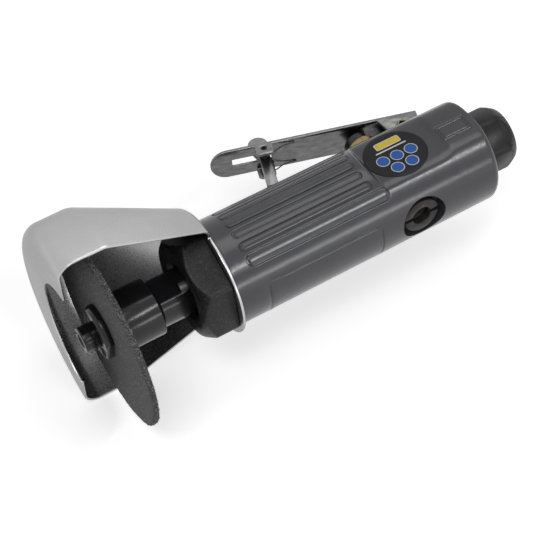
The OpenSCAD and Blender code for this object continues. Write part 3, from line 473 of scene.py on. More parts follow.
def barrel_radius(x):
    """Radius of the barrel without its flats, with a round at each end."""
    r = front_r + (rear_r - front_r) * (x - front_x) / (rear_x - front_x)
    nose = np.clip(nose_round - (x - front_x), 0, nose_round)
    tail = np.clip(x - (rear_x - rear_round), 0, rear_round)
    return (r - nose_round + np.sqrt(np.clip(nose_round ** 2 - nose ** 2, 0, None))
            - rear_round + np.sqrt(np.clip(rear_round ** 2 - tail ** 2, 0, None)))


flat_front = label_x - flat_len / 2
step_x = rear_x - rear_flat_len
profile_step, blur, blur_reach = 0.05, 12, 40
profile_x = np.arange(front_x - 5, rear_x + 5, profile_step)
corners = ((flat_front - 2.6, 21.5), (flat_front, flat_z), (flat_front + flat_len, flat_z),
           (step_x - 1, flat_z + 0.3), (step_x + 1.2, rear_flat_z))
kernel = np.exp(-0.5 * (np.arange(-blur_reach, blur_reach + 1) / blur) ** 2)
profile = np.pad(np.interp(profile_x, *zip(*corners)), blur_reach, "edge")
profile = np.convolve(profile, kernel / kernel.sum(), "valid")
FAR = 50  # added to a distance, it puts the far side of the barrel out of a groove's reach


def frame_line(u, v, half_u, half_v, corner, depth, line):
    """Depth of a thin groove along a rectangle with round corners."""
    qu, qv = np.abs(u) - half_u + corner, np.abs(v) - half_v + corner
    d = np.hypot(np.clip(qu, 0, None), np.clip(qv, 0, None)) + np.minimum(
        np.maximum(qu, qv), 0) - corner
    return depth * ease(1 - np.abs(d) / line)


def outside(x, turn, details=True):
    """Radius of the grip at a place along the tool and an angle in degrees from the lever."""
    a = np.radians(turn)
    flat = np.interp(x, profile_x, profile) / np.maximum(np.abs(np.sin(a)), 0.05)
    r = soft_min(barrel_radius(x), flat, flat_blend)
    if not details:
        return r
    for angle, length, width in rib_places():
        away = np.radians(turn - angle)
        v = r * np.sin(away) + np.where(np.cos(away) < 0, FAR, 0)
        u = x - front_x - rib["start"]
        past = np.maximum(np.maximum(width / 2 - u, u - length + width / 2), 0)
        inside = width / 2 - np.hypot(past, v)
        r = r - rib["depth"] * ease(inside / rib["edge"])
    u = x - front_x - panel["start"] - panel["length"] / 2
    v = np.radians((turn - panel["middle"] + 180) % 360 - 180) * front_r
    r = r - frame_line(u, v, panel["length"] / 2, math.radians(panel["half"]) * front_r,
                       panel["round"], panel["depth"], panel["line"])
    y, z = r * np.cos(a), r * np.sin(a)
    for half_x, half_y in double["halves"]:
        line = frame_line(x - rear_x + double["from_rear"], y + double["down"], half_x, half_y,
                          double["round"], double["depth"], double["line"])
        r = r - np.where(z > 0, line, 0)
    return r


# %% Lines of the grid
def around(centres, half, step):
    """Close values on both sides of each centre."""
    return [c + d for c in centres for d in np.arange(-half, half + step / 2, step)]


def spans(*rows):
    """Even values, from rows of start, stop and step."""
    return [v for row in rows for v in np.arange(*row)]


def thinned(values, least):
    """Sorted values that are no closer than a limit."""
    kept = []
    for v in sorted(values):
        if not kept or v - kept[-1] >= least:
            kept.append(v)
    return np.array(kept)


turns = spans((0, 360, 2.5), (45, 135, 1.0), (225, 315, 1.0))
for angle, length, width in rib_places():
    edge = math.degrees(math.asin(width / 2 / front_r))
    turns += [angle + side * (edge - d) for side in (1, -1)
              for d in (-0.15, 0.15, 0.4, 0.7, 0.95, 1.25)]
turns += around([panel["middle"] + side * panel["half"] for side in (-1, 1)], 1.4, 0.28)
turns += around([math.degrees(math.atan2(rear_flat_z, side * half_y - double["down"]))
                 for _, half_y in double["halves"] for side in (1, -1)], 1.2, 0.3)
turns = thinned([t % 360 for t in turns], 0.22)
ends = [0, 0.06, 0.16, 0.3, 0.5, 1.5, 4, 6.8]
ends += spans((6.9, 9.8, 0.18), (15, 54, 4), (54, 66.8, 0.2), (67, 70, 1), (70, 78, 0.4),
              (78, 91, 1.0), (91, 98, 0.4), (98, 107, 1))
ends += around([panel["start"], panel["start"] + panel["length"]], 0.5, 0.1)
ends += around([grip_len - double["from_rear"] + side * half_x
                for half_x, _ in double["halves"] for side in (1, -1)], 0.36, 0.09)
ends += [grip_len - rear_round * (1 - math.sin(math.radians(a))) for a in range(0, 91, 9)]
rows = front_x + thinned(ends, 0.055)
rows[-1] = rear_x
print("grid", len(rows), "by", len(turns))

# %% Skin of the grip
def skin(name, rows, turns, radius):
    """A closed tube about the axis, given its radius at each row and turn, in mm."""
    grid_x, grid_t = np.meshgrid(rows, turns, indexing="ij")
    r = radius(grid_x, grid_t)
    a = np.radians(grid_t)
    points = np.stack([grid_x, r * np.cos(a), r * np.sin(a)], -1).reshape(-1, 3)
    return from_points(name, points, tube(len(rows), len(turns)))


grip = skin("grip_skin", rows, turns, outside)
print("skin faces", len(grip.data.polygons))

# %% [markdown]
# The holes of the grip are bored on the real casting too: the motor's bore from the front, the
# inlet's seat from the rear, the valve bore across, the regulator's deep recess, and the milled
# pocket for the lever with the lug that holds its pin. Cutters with these shapes are taken out of
# the skin, which keeps the walls true.

# %% Cutters
def rod(start, end, radius, sides=96):
    """A step that adds a rod between two points to a bmesh, in mm."""
    start, end = Vector(start) * MM, Vector(end) * MM
    turn = (end - start).to_track_quat("Z", "Y").to_matrix().to_4x4()
    return lambda shape: bmesh.ops.create_cone(
        shape, cap_ends=True, segments=sides, radius1=radius * MM, radius2=radius * MM,
        depth=(end - start).length, matrix=Matrix.Translation((start + end) / 2) @ turn)


def block(lowest, highest, round_by=0.0):
    """A step that adds a box to an empty bmesh, with round edges if asked, in mm."""
    lowest, highest = Vector(lowest) * MM, Vector(highest) * MM

    def fill(shape):
        bmesh.ops.create_cube(shape, size=1, matrix=Matrix.Translation((lowest + highest) / 2)
                              @ Matrix.Diagonal((*(highest - lowest), 1)))
        if round_by:
            bmesh.ops.bevel(shape, geom=shape.edges[:], offset=round_by * MM, segments=3,
                            profile=0.5, affect="EDGES")
    return fill


def bridge(shape, a, b):
    """Faces between two loops of points of the same count."""
    for k in range(len(a)):
        j = (k + 1) % len(a)
        shape.faces.new((a[k], a[j], b[j], b[k]))


def cut(piece, fill, operation="DIFFERENCE"):
    """Fills a bmesh with a cutter and takes it out of a piece, or adds it."""
    shape = bmesh.new()
    fill(shape)
    bmesh.ops.recalc_face_normals(shape, faces=shape.faces)
    mesh = bpy.data.meshes.new("cutter")
    shape.to_mesh(mesh)
    shape.free()
    tool = new_piece("cutter", mesh)
    step = piece.modifiers.new("cut", "BOOLEAN")
    step.object = tool
    step.operation = operation
    step.solver = "EXACT"
    bake(piece)
    bpy.data.objects.remove(tool)


print("cutters ready")

# %% Holes of the grip, in mm
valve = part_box("valve_bush")
valve_x = (valve[0].x + valve[1].x) / 2 / MM
pin_low, pin_high = (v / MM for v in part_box("lever_pin"))
pivot = Vector(((pin_low.x + pin_high.x) / 2, (pin_low.y + pin_high.y) / 2, 0))
lever_half = (pin_high.z - pin_low.z) / 2
bore_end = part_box("motor_gasket")[1].x / MM
motor_r, inlet_r, inlet_depth = 15.05, 9.55, 12.05
chamber = {"inner": 10.65, "outer": 15.0, "depth": 6.8, "sides": 96}
valve_r, valve_end, recess_r, recess_floor = 6.5, -14, 9.0, -13.5
pocket = {"half": 8.5, "side": 0.45, "round": 1.2, "floor": pivot.y - 4.67}
lug_r, stem_half, lug_half, pin_hole_r = 4.0, 3.98, lever_half - 1.55, 2.3
beyond, clear_y = 1, 26


def exhaust_ring(shape):
    """The ring shaped chamber behind the motor, open to the rear, as a closed tube of its own."""
    sides, front, rear = chamber["sides"], rear_x - chamber["depth"], rear_x + beyond
    loops = []
    for x, r in ((front, chamber["inner"]), (front, chamber["outer"]), (rear, chamber["outer"]),
                 (rear, chamber["inner"])):
        loops.append([shape.verts.new(Vector((x, r * math.cos(2 * math.pi * k / sides),
                                              r * math.sin(2 * math.pi * k / sides))) * MM)
                      for k in range(sides)])
    for a, b in zip(loops, loops[1:] + loops[:1]):
        bridge(shape, a, b)


# %% Bore and pocket the grip
stages = (
    ("motor bore", "DIFFERENCE", rod((front_x - beyond, 0, 0), (bore_end, 0, 0), motor_r)),
    ("inlet seat", "DIFFERENCE", rod((rear_x - inlet_depth, 0, 0), (rear_x + beyond, 0, 0),
                                     inlet_r)),
    ("exhaust chamber", "DIFFERENCE", exhaust_ring),
    ("lever pocket", "DIFFERENCE", block(
        (pivot.x - pocket["half"], pocket["floor"], -lever_half - pocket["side"]),
        (pivot.x + pocket["half"], clear_y, lever_half + pocket["side"]), pocket["round"])),
    ("valve bore", "DIFFERENCE", rod((valve_x, clear_y, 0), (valve_x, valve_end, 0), valve_r)),
    ("recess", "DIFFERENCE", rod((valve_x, -clear_y, 0), (valve_x, recess_floor, 0), recess_r)),
    ("lug stem", "UNION", block((pivot.x - stem_half, pocket["floor"] - beyond, -lug_half),
                                (pivot.x + stem_half, pivot.y, lug_half))),
    ("lug", "UNION", rod((pivot.x, pivot.y, -lug_half), (pivot.x, pivot.y, lug_half), lug_r, 64)),
    ("pin hole", "DIFFERENCE", rod((pivot.x, pivot.y, -lever_half),
                                   (pivot.x, pivot.y, lever_half), pin_hole_r, 48)))
for name, kind, fill in stages:
    cut(grip, fill, kind)
    print(name, "leaves", len(grip.data.polygons), "faces")

# %% Finish the grip
hand_over(grip, "housing", 32)

# %% [markdown]
# ## Ribs
# Each grip rib is the same long bead with a domed top, set into its racetrack. A repeated part is a
# job for Geometry Nodes: one ball is stretched into a bead, and the tree places it round the
# barrel by its number, with the angle, length and width that the grip's measures give. The
# tree's named inputs are those sizes, so the ribs can be changed without touching the tree.

# %% Geometry Nodes helper
class Tree:
    """A short way to write a Geometry Nodes tree, with named inputs that are whole or real."""

    def __init__(self, name, inputs):
        self.group = bpy.data.node_groups.new(name, "GeometryNodeTree")
        face = self.group.interface
        face.new_socket("Geometry", in_out="INPUT", socket_type="NodeSocketGeometry")
        face.new_socket("Geometry", in_out="OUTPUT", socket_type="NodeSocketGeometry")
        self.values, self.ids = inputs, {}
        for label, value in inputs.items():
            kind = "NodeSocketInt" if isinstance(value, int) else "NodeSocketFloat"
            socket = face.new_socket(label, in_out="INPUT", socket_type=kind)
            socket.default_value = value
            self.ids[label] = socket.identifier
        self.start = self.group.nodes.new("NodeGroupInput")
        self.end = self.group.nodes.new("NodeGroupOutput")

    def node(self, kind, *values, options=None, **inputs):
        return make(self.group, kind, *values, options=options, **inputs)

    def math(self, operation, *values):
        return self.node("ShaderNodeMath", *values, options={"operation": operation}).outputs[0]

    def vector(self, x, y, z):
        return self.node("ShaderNodeCombineXYZ", x, y, z).outputs[0]

    def given(self, label):
        return self.start.outputs[label]

    def close(self, geometry, material):
        real = self.node("GeometryNodeRealizeInstances", Geometry=geometry)
        shade = self.node("GeometryNodeSetShadeSmooth", Geometry=real.outputs[0])
        done = self.node("GeometryNodeSetMaterial", Geometry=shade.outputs[0], Material=material)
        self.group.links.new(done.outputs[0], self.end.inputs[0])

    def run(self, name, start=None, changed=None):
        """A plain piece from the tree, on a mesh if given, with some inputs changed if asked."""
        piece = new_piece(name, start or bpy.data.meshes.new(name))
        step = piece.modifiers.new("tree", "NODES")
        step.node_group = self.group
        for label, value in {**self.values, **(changed or {})}.items():
            step[self.ids[label]] = value
        bake(piece)
        return piece


print("tree helper ready")

# %% Rib tree
ribs = Tree("grip_ribs", {
    "Ribs per side": rib["count"], "First angle": math.radians(rib["first"]),
    "Angle pitch": math.radians(rib["pitch"]),
    "Rib start": (front_x + rib["start"] + rib["line"]) * MM,
    "Length": (rib["length"] - 2 * rib["line"]) * MM, "Extra length": rib["extra"] * MM,
    "Width": (rib["width"] - 2 * rib["line"]) * MM,
    "Last width": (rib["last"] - 2 * rib["line"]) * MM, "Rise": rib["rise"] * MM,
    "Seat radius": (front_r - rib["sink"] - rib["depth"]) * MM})
ball = ribs.node("GeometryNodeMeshUVSphere", Segments=36, Rings=24, Radius=1.0)
ball = ribs.node("GeometryNodeTransform", Geometry=ball.outputs[0], Rotation=(0, 0, math.pi / 36))
place = ribs.node("GeometryNodeInputPosition")
x, y, z = ribs.node("ShaderNodeSeparateXYZ", Vector=place.outputs[0]).outputs
calc, given = ribs.math, ribs.given
half_width = calc("DIVIDE", given("Width"), 2.0)
reach = calc("SUBTRACT", calc("DIVIDE", given("Length"), 2.0), half_width)
along = calc("MULTIPLY_ADD", x, half_width, calc("MULTIPLY", calc("SIGN", x), reach))
dome = calc("MULTIPLY", calc("SIGN", z), calc("SQRT", calc("ABSOLUTE", z)))
bead = ribs.node("GeometryNodeSetPosition", Geometry=ball.outputs[0], Position=ribs.vector(
    along, calc("MULTIPLY", y, half_width), calc("MULTIPLY", given("Rise"), dome)))
index = ribs.node("GeometryNodeInputIndex").outputs[0]
count = given("Ribs per side")
number = calc("MODULO", index, count)
side = calc("SUBTRACT", calc("MULTIPLY", calc("LESS_THAN", index, count), 2.0), 1.0)
is_last = calc("GREATER_THAN", number, calc("SUBTRACT", count, 1.5))
middle_number = calc("DIVIDE", calc("SUBTRACT", count, 1.0), 2.0)
away = calc("MULTIPLY", calc("ABSOLUTE", calc("SUBTRACT", number, middle_number)), MM)
longer = calc("ADD", calc("MULTIPLY", away, calc("SUBTRACT", 1.0, is_last)),
              calc("MULTIPLY", given("Extra length"), is_last))
angle = calc("MULTIPLY", side, calc("MULTIPLY_ADD", number, given("Angle pitch"),
                                    given("First angle")))
spot = ribs.vector(
    calc("ADD", given("Rib start"), calc("DIVIDE", calc("ADD", given("Length"), longer), 2.0)),
    calc("MULTIPLY", given("Seat radius"), calc("COSINE", angle)),
    calc("MULTIPLY", given("Seat radius"), calc("SINE", angle)))
spots = ribs.node("GeometryNodePoints", Count=calc("MULTIPLY", count, 2.0), Position=spot)
last_share = calc("SUBTRACT", calc("DIVIDE", given("Last width"), given("Width")), 1.0)
grown = ribs.vector(calc("ADD", 1.0, calc("DIVIDE", longer, given("Length"))),
                    calc("ADD", 1.0, calc("MULTIPLY", is_last, last_share)),
                    calc("ADD", 1.0, calc("MULTIPLY", is_last, 0.25)))
spin = ribs.node("FunctionNodeEulerToRotation", Euler=ribs.vector(
    calc("SUBTRACT", angle, math.pi / 2), 0.0, 0.0))
placed = ribs.node("GeometryNodeInstanceOnPoints", Points=spots.outputs[0],
                   Instance=bead.outputs[0], Rotation=spin.outputs[0], Scale=grown)
ribs.close(placed.outputs[0], FINISHES["housing_grey"])
rib_beads = ribs.run("grip_rib_beads")
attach(rib_beads, "handle")
print("rib faces", len(rib_beads.data.polygons))

# %% [markdown]
# ## Label
# The real label is a thin black oval of film on the milled flat. Its edge follows the flat's soft
# shoulder, so the piece takes its height from the grip's own rule. What is printed on it is kept
# generic: plain discs, a bar and a line, with no words and no signs.

# %% Label
def label_height(x, y):
    """Height of the grip under a point of the label, in mm."""
    z = np.full(np.shape(x), flat_z)
    for _ in range(12):
        r = outside(x, np.degrees(np.arctan2(z, y)), details=False)
        z = np.sqrt(np.clip(r * r - y * y, 0, None))
    return z


def mend_sheet(shape):
    """Closes the middle of an oval, where each ring of points has shrunk to one place."""
    bmesh.ops.remove_doubles(shape, verts=shape.verts, dist=0.002 * MM)
    bmesh.ops.dissolve_degenerate(shape, edges=shape.edges, dist=0.001 * MM)


def oval(name, centre, half, rings, sides, lift, thick, square=2.0):
    """A thin oval sheet that lies on the flat, as a closed mesh. A larger square is boxier."""
    levels = [(ring / rings, lift, 0.0) for ring in range(rings + 1)]
    levels += [(ring / rings, lift + thick, TOP_SHRINK) for ring in range(rings, -1, -1)]
    points = []
    for share, level, shrink in levels:
        for k in range(sides):
            a = 2 * math.pi * k / sides
            u, v = (math.copysign(abs(w) ** (2 / square), w) for w in (math.cos(a), math.sin(a)))
            points.append((centre[0] + (half[0] - shrink) * share * u,
                           centre[1] + (half[1] - shrink) * share * v, level))
    points = np.array(points)
    points[:, 2] += label_height(points[:, 0], points[:, 1])
    return from_points(name, points, tube(len(levels), sides, "open"), mend_sheet)


TOP_SHRINK = 0.12
label = oval("label_oval", (label_x, 0), half=(12.1, 11.2), rings=16, sides=96, lift=0.03,
             thick=0.2)
hand_over(label, "side_label", 40)

# %% Label print
for name, colour in (("ink_blue", (0.015, 0.085, 0.33)), ("ink_white", (0.62, 0.62, 0.62)),
                     ("ink_yellow", (0.60, 0.47, 0.06))):
    finish(name, tuple(0.85 * c for c in colour), colour, (0.34, 0.42), spec=0.3, patch=900)


def print_on_label(name, place, half, ink, level, square=2.0):
    """A thin mark of ink, at a place from the label's middle and a level, all in mm."""
    centre = (label_x + place[0], place[1])
    mark = oval(name, centre, half, 4, 40, level, INK_THICK, square)
    mark.data.materials.append(FINISHES[ink])
    smooth(mark, 40)
    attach(mark, "handle")


INK_THICK, UNDER, OVER = 0.012, 0.228, 0.235
BOXY = 9.0
disc_places = ((-5.8, -0.9), (0.1, -0.9), (6.0, -0.9), (-2.9, -6.1), (3.2, -6.1))
for k, place in enumerate(disc_places):
    print_on_label(f"label_disc_{k}", place, (2.3, 2.3), "ink_blue", OVER)
    print_on_label(f"label_disc_ring_{k}", place, (2.52, 2.52), "ink_white", UNDER)
print_on_label("label_bar_white", (0.4, 6.2), (5.2, 1.7), "ink_white", UNDER, BOXY)
print_on_label("label_bar_yellow", (0.4, 6.2), (5.0, 1.5), "ink_yellow", OVER, BOXY)
print_on_label("label_line", (0.2, 3.3), (6.4, 0.3), "ink_white", OVER, BOXY)
print("marks on the label", 2 * len(disc_places) + 3)

# %% [markdown]
# ## Guard
# The guard is a cup pressed from steel sheet and cut in half, with a mouth in its front wall. Its
# outline is turned round the tool's axis through a half circle, given its thickness, and the mouth
# is cut out. Every sheet edge gets a small round, because that bright line is what shows how thin
# the metal is. The sheet is pressed, so it isn't perfectly true: it gets a slow unevenness of up to
# 0.15 mm, always inwards, which bends its reflections as on the real one.

# %% Guard
hood = {"ring_rear": front_x - 0.1, "ring_r": 22.2, "ring_bore": 15.05, "base_r": 23.5,
        "base_round": 4.0, "r": 43.9, "slope": 25.4, "reach": 56.0, "front_round": 6.5,
        "shoulder": 8.0, "half": 88.5, "turn": 7.0, "sheet": 1.0, "mouth_h": 21.3,
        "mouth_half": 26.5, "mouth_end": -44.0}
rear_wall, front_wall = hood["ring_rear"], hood["ring_rear"] - hood["reach"]


def arc_points(cx, cr, radius, start, end, steps):
    """Points of an arc in radius and X, at angles from the radius axis."""
    return [(cr + radius * math.cos(math.radians(a)), cx + radius * math.sin(math.radians(a)))
            for a in np.linspace(start, end, steps + 1)]


def hood_line(inset):
    """Half section of the hood's sheet as radius and X, from the ring to the front wall."""
    slope, base, shoulder = math.radians(hood["slope"]), hood["base_round"], hood["shoulder"]
    across, along = math.cos(slope), math.sin(slope)
    base_x, shoulder_r = rear_wall - base, hood["r"] - shoulder
    offset = hood["base_r"] * across + base_x * along + base
    shoulder_x = (offset - shoulder - shoulder_r * across) / along
    round_r, round_x = hood["r"] - hood["front_round"], front_wall + hood["front_round"]
    line = [(hood["ring_r"] - 3.0, rear_wall - inset)]
    line += arc_points(base_x, hood["base_r"], base - inset, 90, hood["slope"], 10)
    line += arc_points(shoulder_x, shoulder_r, shoulder - inset, hood["slope"], 0, 10)
    line += arc_points(round_x, round_r, hood["front_round"] - inset, 0, -90, 16)
    line += [(r, front_wall + inset) for r in (30.0, 22.0, 14.0, 5.0)]
    return line


def refined(line, longest):
    """The same line with no step longer than a limit."""
    out = [line[0]]
    for a, b in zip(line, line[1:]):
        n = max(1, math.ceil(math.dist(a, b) / longest))
        out += [(a[0] + (b[0] - a[0]) * i / n, a[1] + (b[1] - a[1]) * i / n)
                for i in range(1, n + 1)]
    return out


def turned(outline, angles):
    """Points of an outline of radius and X that is turned about the axis."""
    return np.array([(x, r * math.cos(a), r * math.sin(a)) for a in angles for r, x in outline])


sheet_line = refined(hood_line(0), 3.0) + refined(hood_line(hood["sheet"]), 3.0)[::-1]
sheet_angles = np.radians(np.linspace(hood["turn"] - hood["half"],
                                      hood["turn"] + hood["half"], 121))
guard = from_points("guard_hood", turned(sheet_line, sheet_angles),
                    tube(len(sheet_angles), len(sheet_line)))
cut(guard, rod((rear_wall - 1, 0, 0), (rear_wall, 0, 0), hood["ring_r"], 160), "UNION")
cut(guard, rod((rear_wall - 3, 0, 0), (rear_wall + 1, 0, 0), hood["ring_bore"], 160))


def mouth(shape):
    """The mouth in the front wall, an arch that is open below."""
    turn = math.radians(hood["turn"])
    arch = [(hood["mouth_h"] * math.sin(a), hood["mouth_half"] * math.cos(a))
            for a in np.linspace(0, math.pi, 41)]
    arch += [(hood["mouth_end"], side * hood["mouth_half"]) for side in (-1, 1)]
    arch = [(y * math.cos(turn) - z * math.sin(turn), y * math.sin(turn) + z * math.cos(turn))
            for y, z in arch]
    rings = [[shape.verts.new(Vector((x, y, z)) * MM) for y, z in arch]
             for x in (front_wall - 1, front_wall + 2)]
    shape.faces.new(rings[0])
    shape.faces.new(rings[1][::-1])
    bridge(shape, *rings)


cut(guard, mouth)
print("guard before its edges are rounded:", len(guard.data.polygons), "faces")

# %% Uneven pressed sheet and its edges
def uneven(piece, amount, wave):
    """Moves points inwards by a slow wave, the same on both faces of a sheet, in mm."""
    mesh = piece.data
    co = np.empty(len(mesh.vertices) * 3)
    mesh.vertices.foreach_get("co", co)
    co = co.reshape(-1, 3)
    p = co / MM * (2 * math.pi / wave)
    a = np.arctan2(co[:, 2], co[:, 1])
    lift = 1.5 + np.sin(p[:, 0] + 1.3 * np.sin(a * 3.1)) * np.sin(a * 4.3 + 0.7) + 0.5 * np.sin(
        p[:, 0] * 1.7 + a * 5.3 + 2.0)
    r = np.hypot(co[:, 1], co[:, 2])
    fade = np.clip((r / MM - 24) / 8, 0, 1) * amount * MM * lift
    co[:, 1] -= fade * np.cos(a)
    co[:, 2] -= fade * np.sin(a)
    mesh.vertices.foreach_set("co", co.ravel())
    mesh.update()


def join_front(piece, wall):
    """Joins the small faces of the flat front wall, so that its edge can be rounded."""
    shape = bmesh.new()
    shape.from_mesh(piece.data)
    bmesh.ops.remove_doubles(shape, verts=shape.verts, dist=0.02 * MM)
    front = [v for v in shape.verts if v.co.x < wall * MM]
    chosen = set(front)
    bmesh.ops.dissolve_limit(shape, angle_limit=math.radians(0.5), verts=front,
                             edges=[e for e in shape.edges if chosen.issuperset(e.verts)])
    shape.to_mesh(piece.data)
    shape.free()


join_front(guard, front_wall + hood["sheet"] + 0.02)
uneven(guard, amount=0.05, wave=38.0)
round_edges(guard, width=0.28, angle=40)
hand_over(guard, "guard", 38)
print("guard spans", [round(v / MM, 2) for v in guard.dimensions])

# %% [markdown]
# ## Cutting disc
# A cut-off wheel is pressed from black grit and resin between glass nets. Its faces are nearly
# flat with a fine sandy tooth, and its rim is worn coarse. The disc is turned with rings of points,
# and each point moves a little by a hash of its place, more at the rim. Loose grains round the rim
# are scattered by Geometry Nodes with a fixed seed.

# %% Disc
disc_low, disc_high = (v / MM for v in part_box("cutting_disc"))
disc_r, disc_bore = disc_high.y, 5.0


def hashed(points, seed):
    """A fixed number from 0 to 1 for each point."""
    v = np.sin(points @ np.array([127.1, 311.7, 74.7]) + seed * 17.17) * 43758.5453
    return v - np.floor(v)


def disc_outline():
    """Closed outline of the disc's section as radius and X, front face first."""
    front, rear = disc_low.x, disc_high.x
    radii = [disc_bore, 6.5, 9, 12] + list(np.arange(14, disc_r - 1.5, 1.6)) + [
        disc_r - 1.2, disc_r - 0.7, disc_r - 0.35]
    rim = [(disc_r - 0.12, front + 0.22)] + [(disc_r - 0.04, x) for x in np.arange(
        front + 0.5, rear - 0.3, 0.3)] + [(disc_r - 0.12, rear - 0.22)]
    return [(r, front) for r in radii] + rim + [(r, rear) for r in radii[::-1]]


outline = disc_outline()
sides, per_clump, clamp_r, rim_band = 520, 4, 12, 2.2
points = turned(outline, np.linspace(0, 2 * math.pi, sides, endpoint=False))
radius = np.hypot(points[:, 1], points[:, 2])
wear = np.clip((radius - (disc_r - rim_band)) / 2.0, 0.0, 1.0)
tooth = np.where(radius < clamp_r, 0.0, 0.02 + 0.62 * wear ** 2)
clump = hashed(np.arange(sides // per_clump)[:, None] * np.ones(3), 3)
clump = np.repeat(clump, per_clump)
clump = np.repeat((clump + np.roll(clump, 1) + np.roll(clump, 2)) / 3, len(outline))
inward = 1 - tooth * (0.55 * hashed(points, 1) + 0.9 * clump) / radius
points[:, 1:] *= inward[:, None]
middle_x = (disc_low.x + disc_high.x) / 2
points[:, 0] = middle_x + (points[:, 0] - middle_x) * (1 - tooth * 0.8 * hashed(points, 2))
disc = from_points("cut_off_disc", points, tube(sides, len(outline), "ring"))
hand_over(disc, "cutting_disc", 55)

# %% Grains on the rim
grains = Tree("rim_grains", {
    "Grains": 2200, "Rim radius": (disc_r - 0.02) * MM, "Disc front": (disc_low.x + 0.3) * MM,
    "Disc rear": (disc_high.x - 0.3) * MM, "Grain size": 0.34 * MM, "Seed": 7})
index = grains.node("GeometryNodeInputIndex").outputs[0]


def chance(low, high, offset):
    """A random number for each grain, from the tree's seed and an offset."""
    seed = grains.math("ADD", grains.given("Seed"), offset)
    return grains.node("FunctionNodeRandomValue", None, None, low, high,
                       options={"data_type": "FLOAT"}, ID=index, Seed=seed).outputs[1]


turn = chance(0.0, 2 * math.pi, 1.0)
depth = grains.math("MULTIPLY", grains.given("Grain size"), chance(1.0, 3.6, 2.0))
out = grains.math("SUBTRACT", grains.given("Rim radius"), depth)
spot = grains.vector(chance(grains.given("Disc front"), grains.given("Disc rear"), 3.0),
                     grains.math("MULTIPLY", out, grains.math("COSINE", turn)),
                     grains.math("MULTIPLY", out, grains.math("SINE", turn)))
dots = grains.node("GeometryNodePoints", Count=grains.given("Grains"), Position=spot)
stone = grains.node("GeometryNodeMeshIcoSphere", Radius=1.0, Subdivisions=1)
tilt = grains.node("FunctionNodeEulerToRotation",
                   Euler=grains.vector(turn, chance(0.0, 3.0, 4.0), turn))
scale = grains.math("MULTIPLY", grains.given("Grain size"), chance(0.5, 1.1, 5.0))
placed = grains.node("GeometryNodeInstanceOnPoints", Points=dots.outputs[0],
                     Instance=stone.outputs[0], Rotation=tilt.outputs[0],
                     Scale=grains.vector(scale, scale, scale))
grains.close(placed.outputs[0], FINISHES["rim_grit"])
rim_grains = grains.run("rim_grains")
rim_grains.data.shade_flat()
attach(rim_grains, "spindle")
print("grain faces", len(rim_grains.data.polygons))

# %% [markdown]
# ## The other pieces
# The nut, the hub, the flange, the screw, the inlet bush, the lever and the latch have the right
# shape in the frame. They only need their small edge rounds, so each gets a softened copy. The
# width follows the way the piece is made: a turned and filed nut has a wider round than sheet.

# %% Softened pieces
SOFT = {"clamp_nut": 0.45, "drive_hub": 0.25, "outer_flange": 0.22, "wheel_screw": 0.18,
        "air_inlet": 0.5, "lever": 0.28, "latch": 0.22, "valve_bush": 0.2, "valve_plunger": 0.2,
        "regulator": 0.22, "exhaust_cover": 0.2, "lever_pin": 0.12, "latch_pin": 0.08}
for name, width in SOFT.items():
    soften(name, width)

# %% [markdown]
# ## Springs
# Both springs are wound from round wire. Each path is a row of points in code: a helix for the
# valve, and two coils with arms and a joining bow for the latch. A Geometry Nodes tree smooths the
# path and sweeps the wire along it, with the wire's radius and the step as named inputs. Both
# springs keep their rest shape.

# %% Wire tree
wires = Tree("wound_wire", {"Wire radius": 0.3 * MM, "Step": 0.2 * MM, "Wire sides": 10})
path = wires.node("GeometryNodeMeshToCurve", Mesh=wires.given("Geometry"))
path = wires.node("GeometryNodeCurveSplineType", options={"spline_type": "CATMULL_ROM"},
                  Curve=path.outputs[0])
path = wires.node("GeometryNodeResampleCurve", options={"mode": "LENGTH"}, Curve=path.outputs[0],
                  Length=wires.given("Step"))
section = wires.node("GeometryNodeCurvePrimitiveCircle", Resolution=wires.given("Wire sides"),
                     Radius=wires.given("Wire radius"))
swept = wires.node("GeometryNodeCurveToMesh", Curve=path.outputs[0],
                   Profile_Curve=section.outputs[0], Fill_Caps=True)
wires.close(swept.outputs[0], FINISHES["spring_steel"])


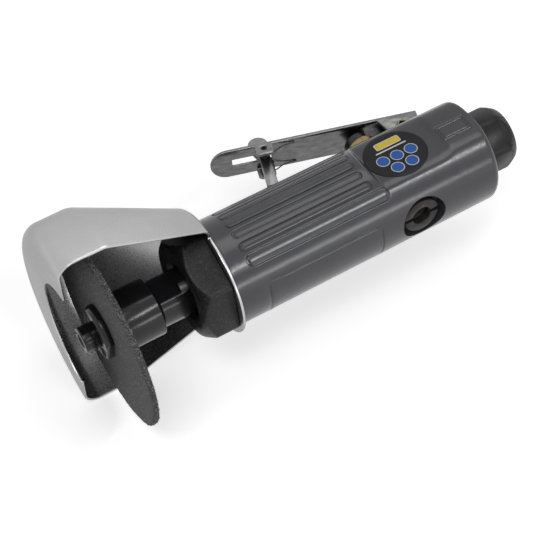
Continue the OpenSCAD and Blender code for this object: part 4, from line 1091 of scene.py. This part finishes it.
def wound(name, points, wire_r, node):
    """A wire along a row of points in mm, standing for a CAD spring."""
    start = bpy.data.meshes.new(name + "_path")
    start.from_pydata([tuple(c * MM for c in p) for p in points],
                      [(i, i + 1) for i in range(len(points) - 1)], [])
    piece = wires.run(name, start, {"Wire radius": wire_r * MM})
    face_outwards(piece.data)
    hand_over(piece, node, 50)
    return piece


print("wire tree ready")

# %% Valve spring
spring_low, spring_high = (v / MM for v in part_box("valve_spring"))
valve_wire, valve_turns, stroke = 0.35, 5, 2.4
coil_r = spring_high.z - valve_wire
rise = spring_high.y - spring_low.y - 2 * valve_wire


def helix_point(share):
    """A point of the valve's helix, from 0 at its fixed end to 1."""
    a = 2 * math.pi * valve_turns * share
    return (valve_x + coil_r * math.cos(a), spring_low.y + valve_wire + rise * share,
            coil_r * math.sin(a))


helix = [helix_point(share) for share in np.linspace(0, 1, valve_turns * 24 + 1)]
valve_spring = wound("valve_spring_coil", helix, valve_wire, "valve_spring")
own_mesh(valve_spring)

# %% Latch spring
latch_low, latch_high = (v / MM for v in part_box("latch_pin"))
latch_at = ((latch_low.x + latch_high.x) / 2, (latch_low.y + latch_high.y) / 2)
tilt, latch_wire, latch_coils = math.radians(18.1), 0.25, 2.75
reel = (latch_high.x - latch_low.x) / 2 + 0.30
coil_out, coil_in, bow = 4.88, 1.97, (2.42, -5.0)
arm = (12.0, 1.33, coil_out)
steps = round(24 * latch_coils)


def latch_coil(i):
    """A point of one coil round the pin, from its outer end inwards."""
    a = math.radians(-90 - 360 * latch_coils * i / steps)
    return reel * math.cos(a), reel * math.sin(a), coil_out + (coil_in - coil_out) * i / steps


half = [arm, (arm[0] * 0.62, arm[1] * 0.62, coil_out), (3.2, -1.35, coil_out)]
half += [latch_coil(i) for i in range(steps + 1)]
half += [(reel + 0.3, -1.4, coil_in), (bow[0], bow[1] + 1.6, coil_in),
         (bow[0], bow[1] + 0.45, coil_in - 0.15), (bow[0], bow[1], coil_in - 0.7)]
whole = half + [(x, y, -z) for x, y, z in half[::-1]]
tipped = [(latch_at[0] + x * math.cos(tilt) + y * math.sin(tilt),
           latch_at[1] - x * math.sin(tilt) + y * math.cos(tilt), z) for x, y, z in whole]
wound("latch_spring_coils", tipped, latch_wire, "latch_spring")
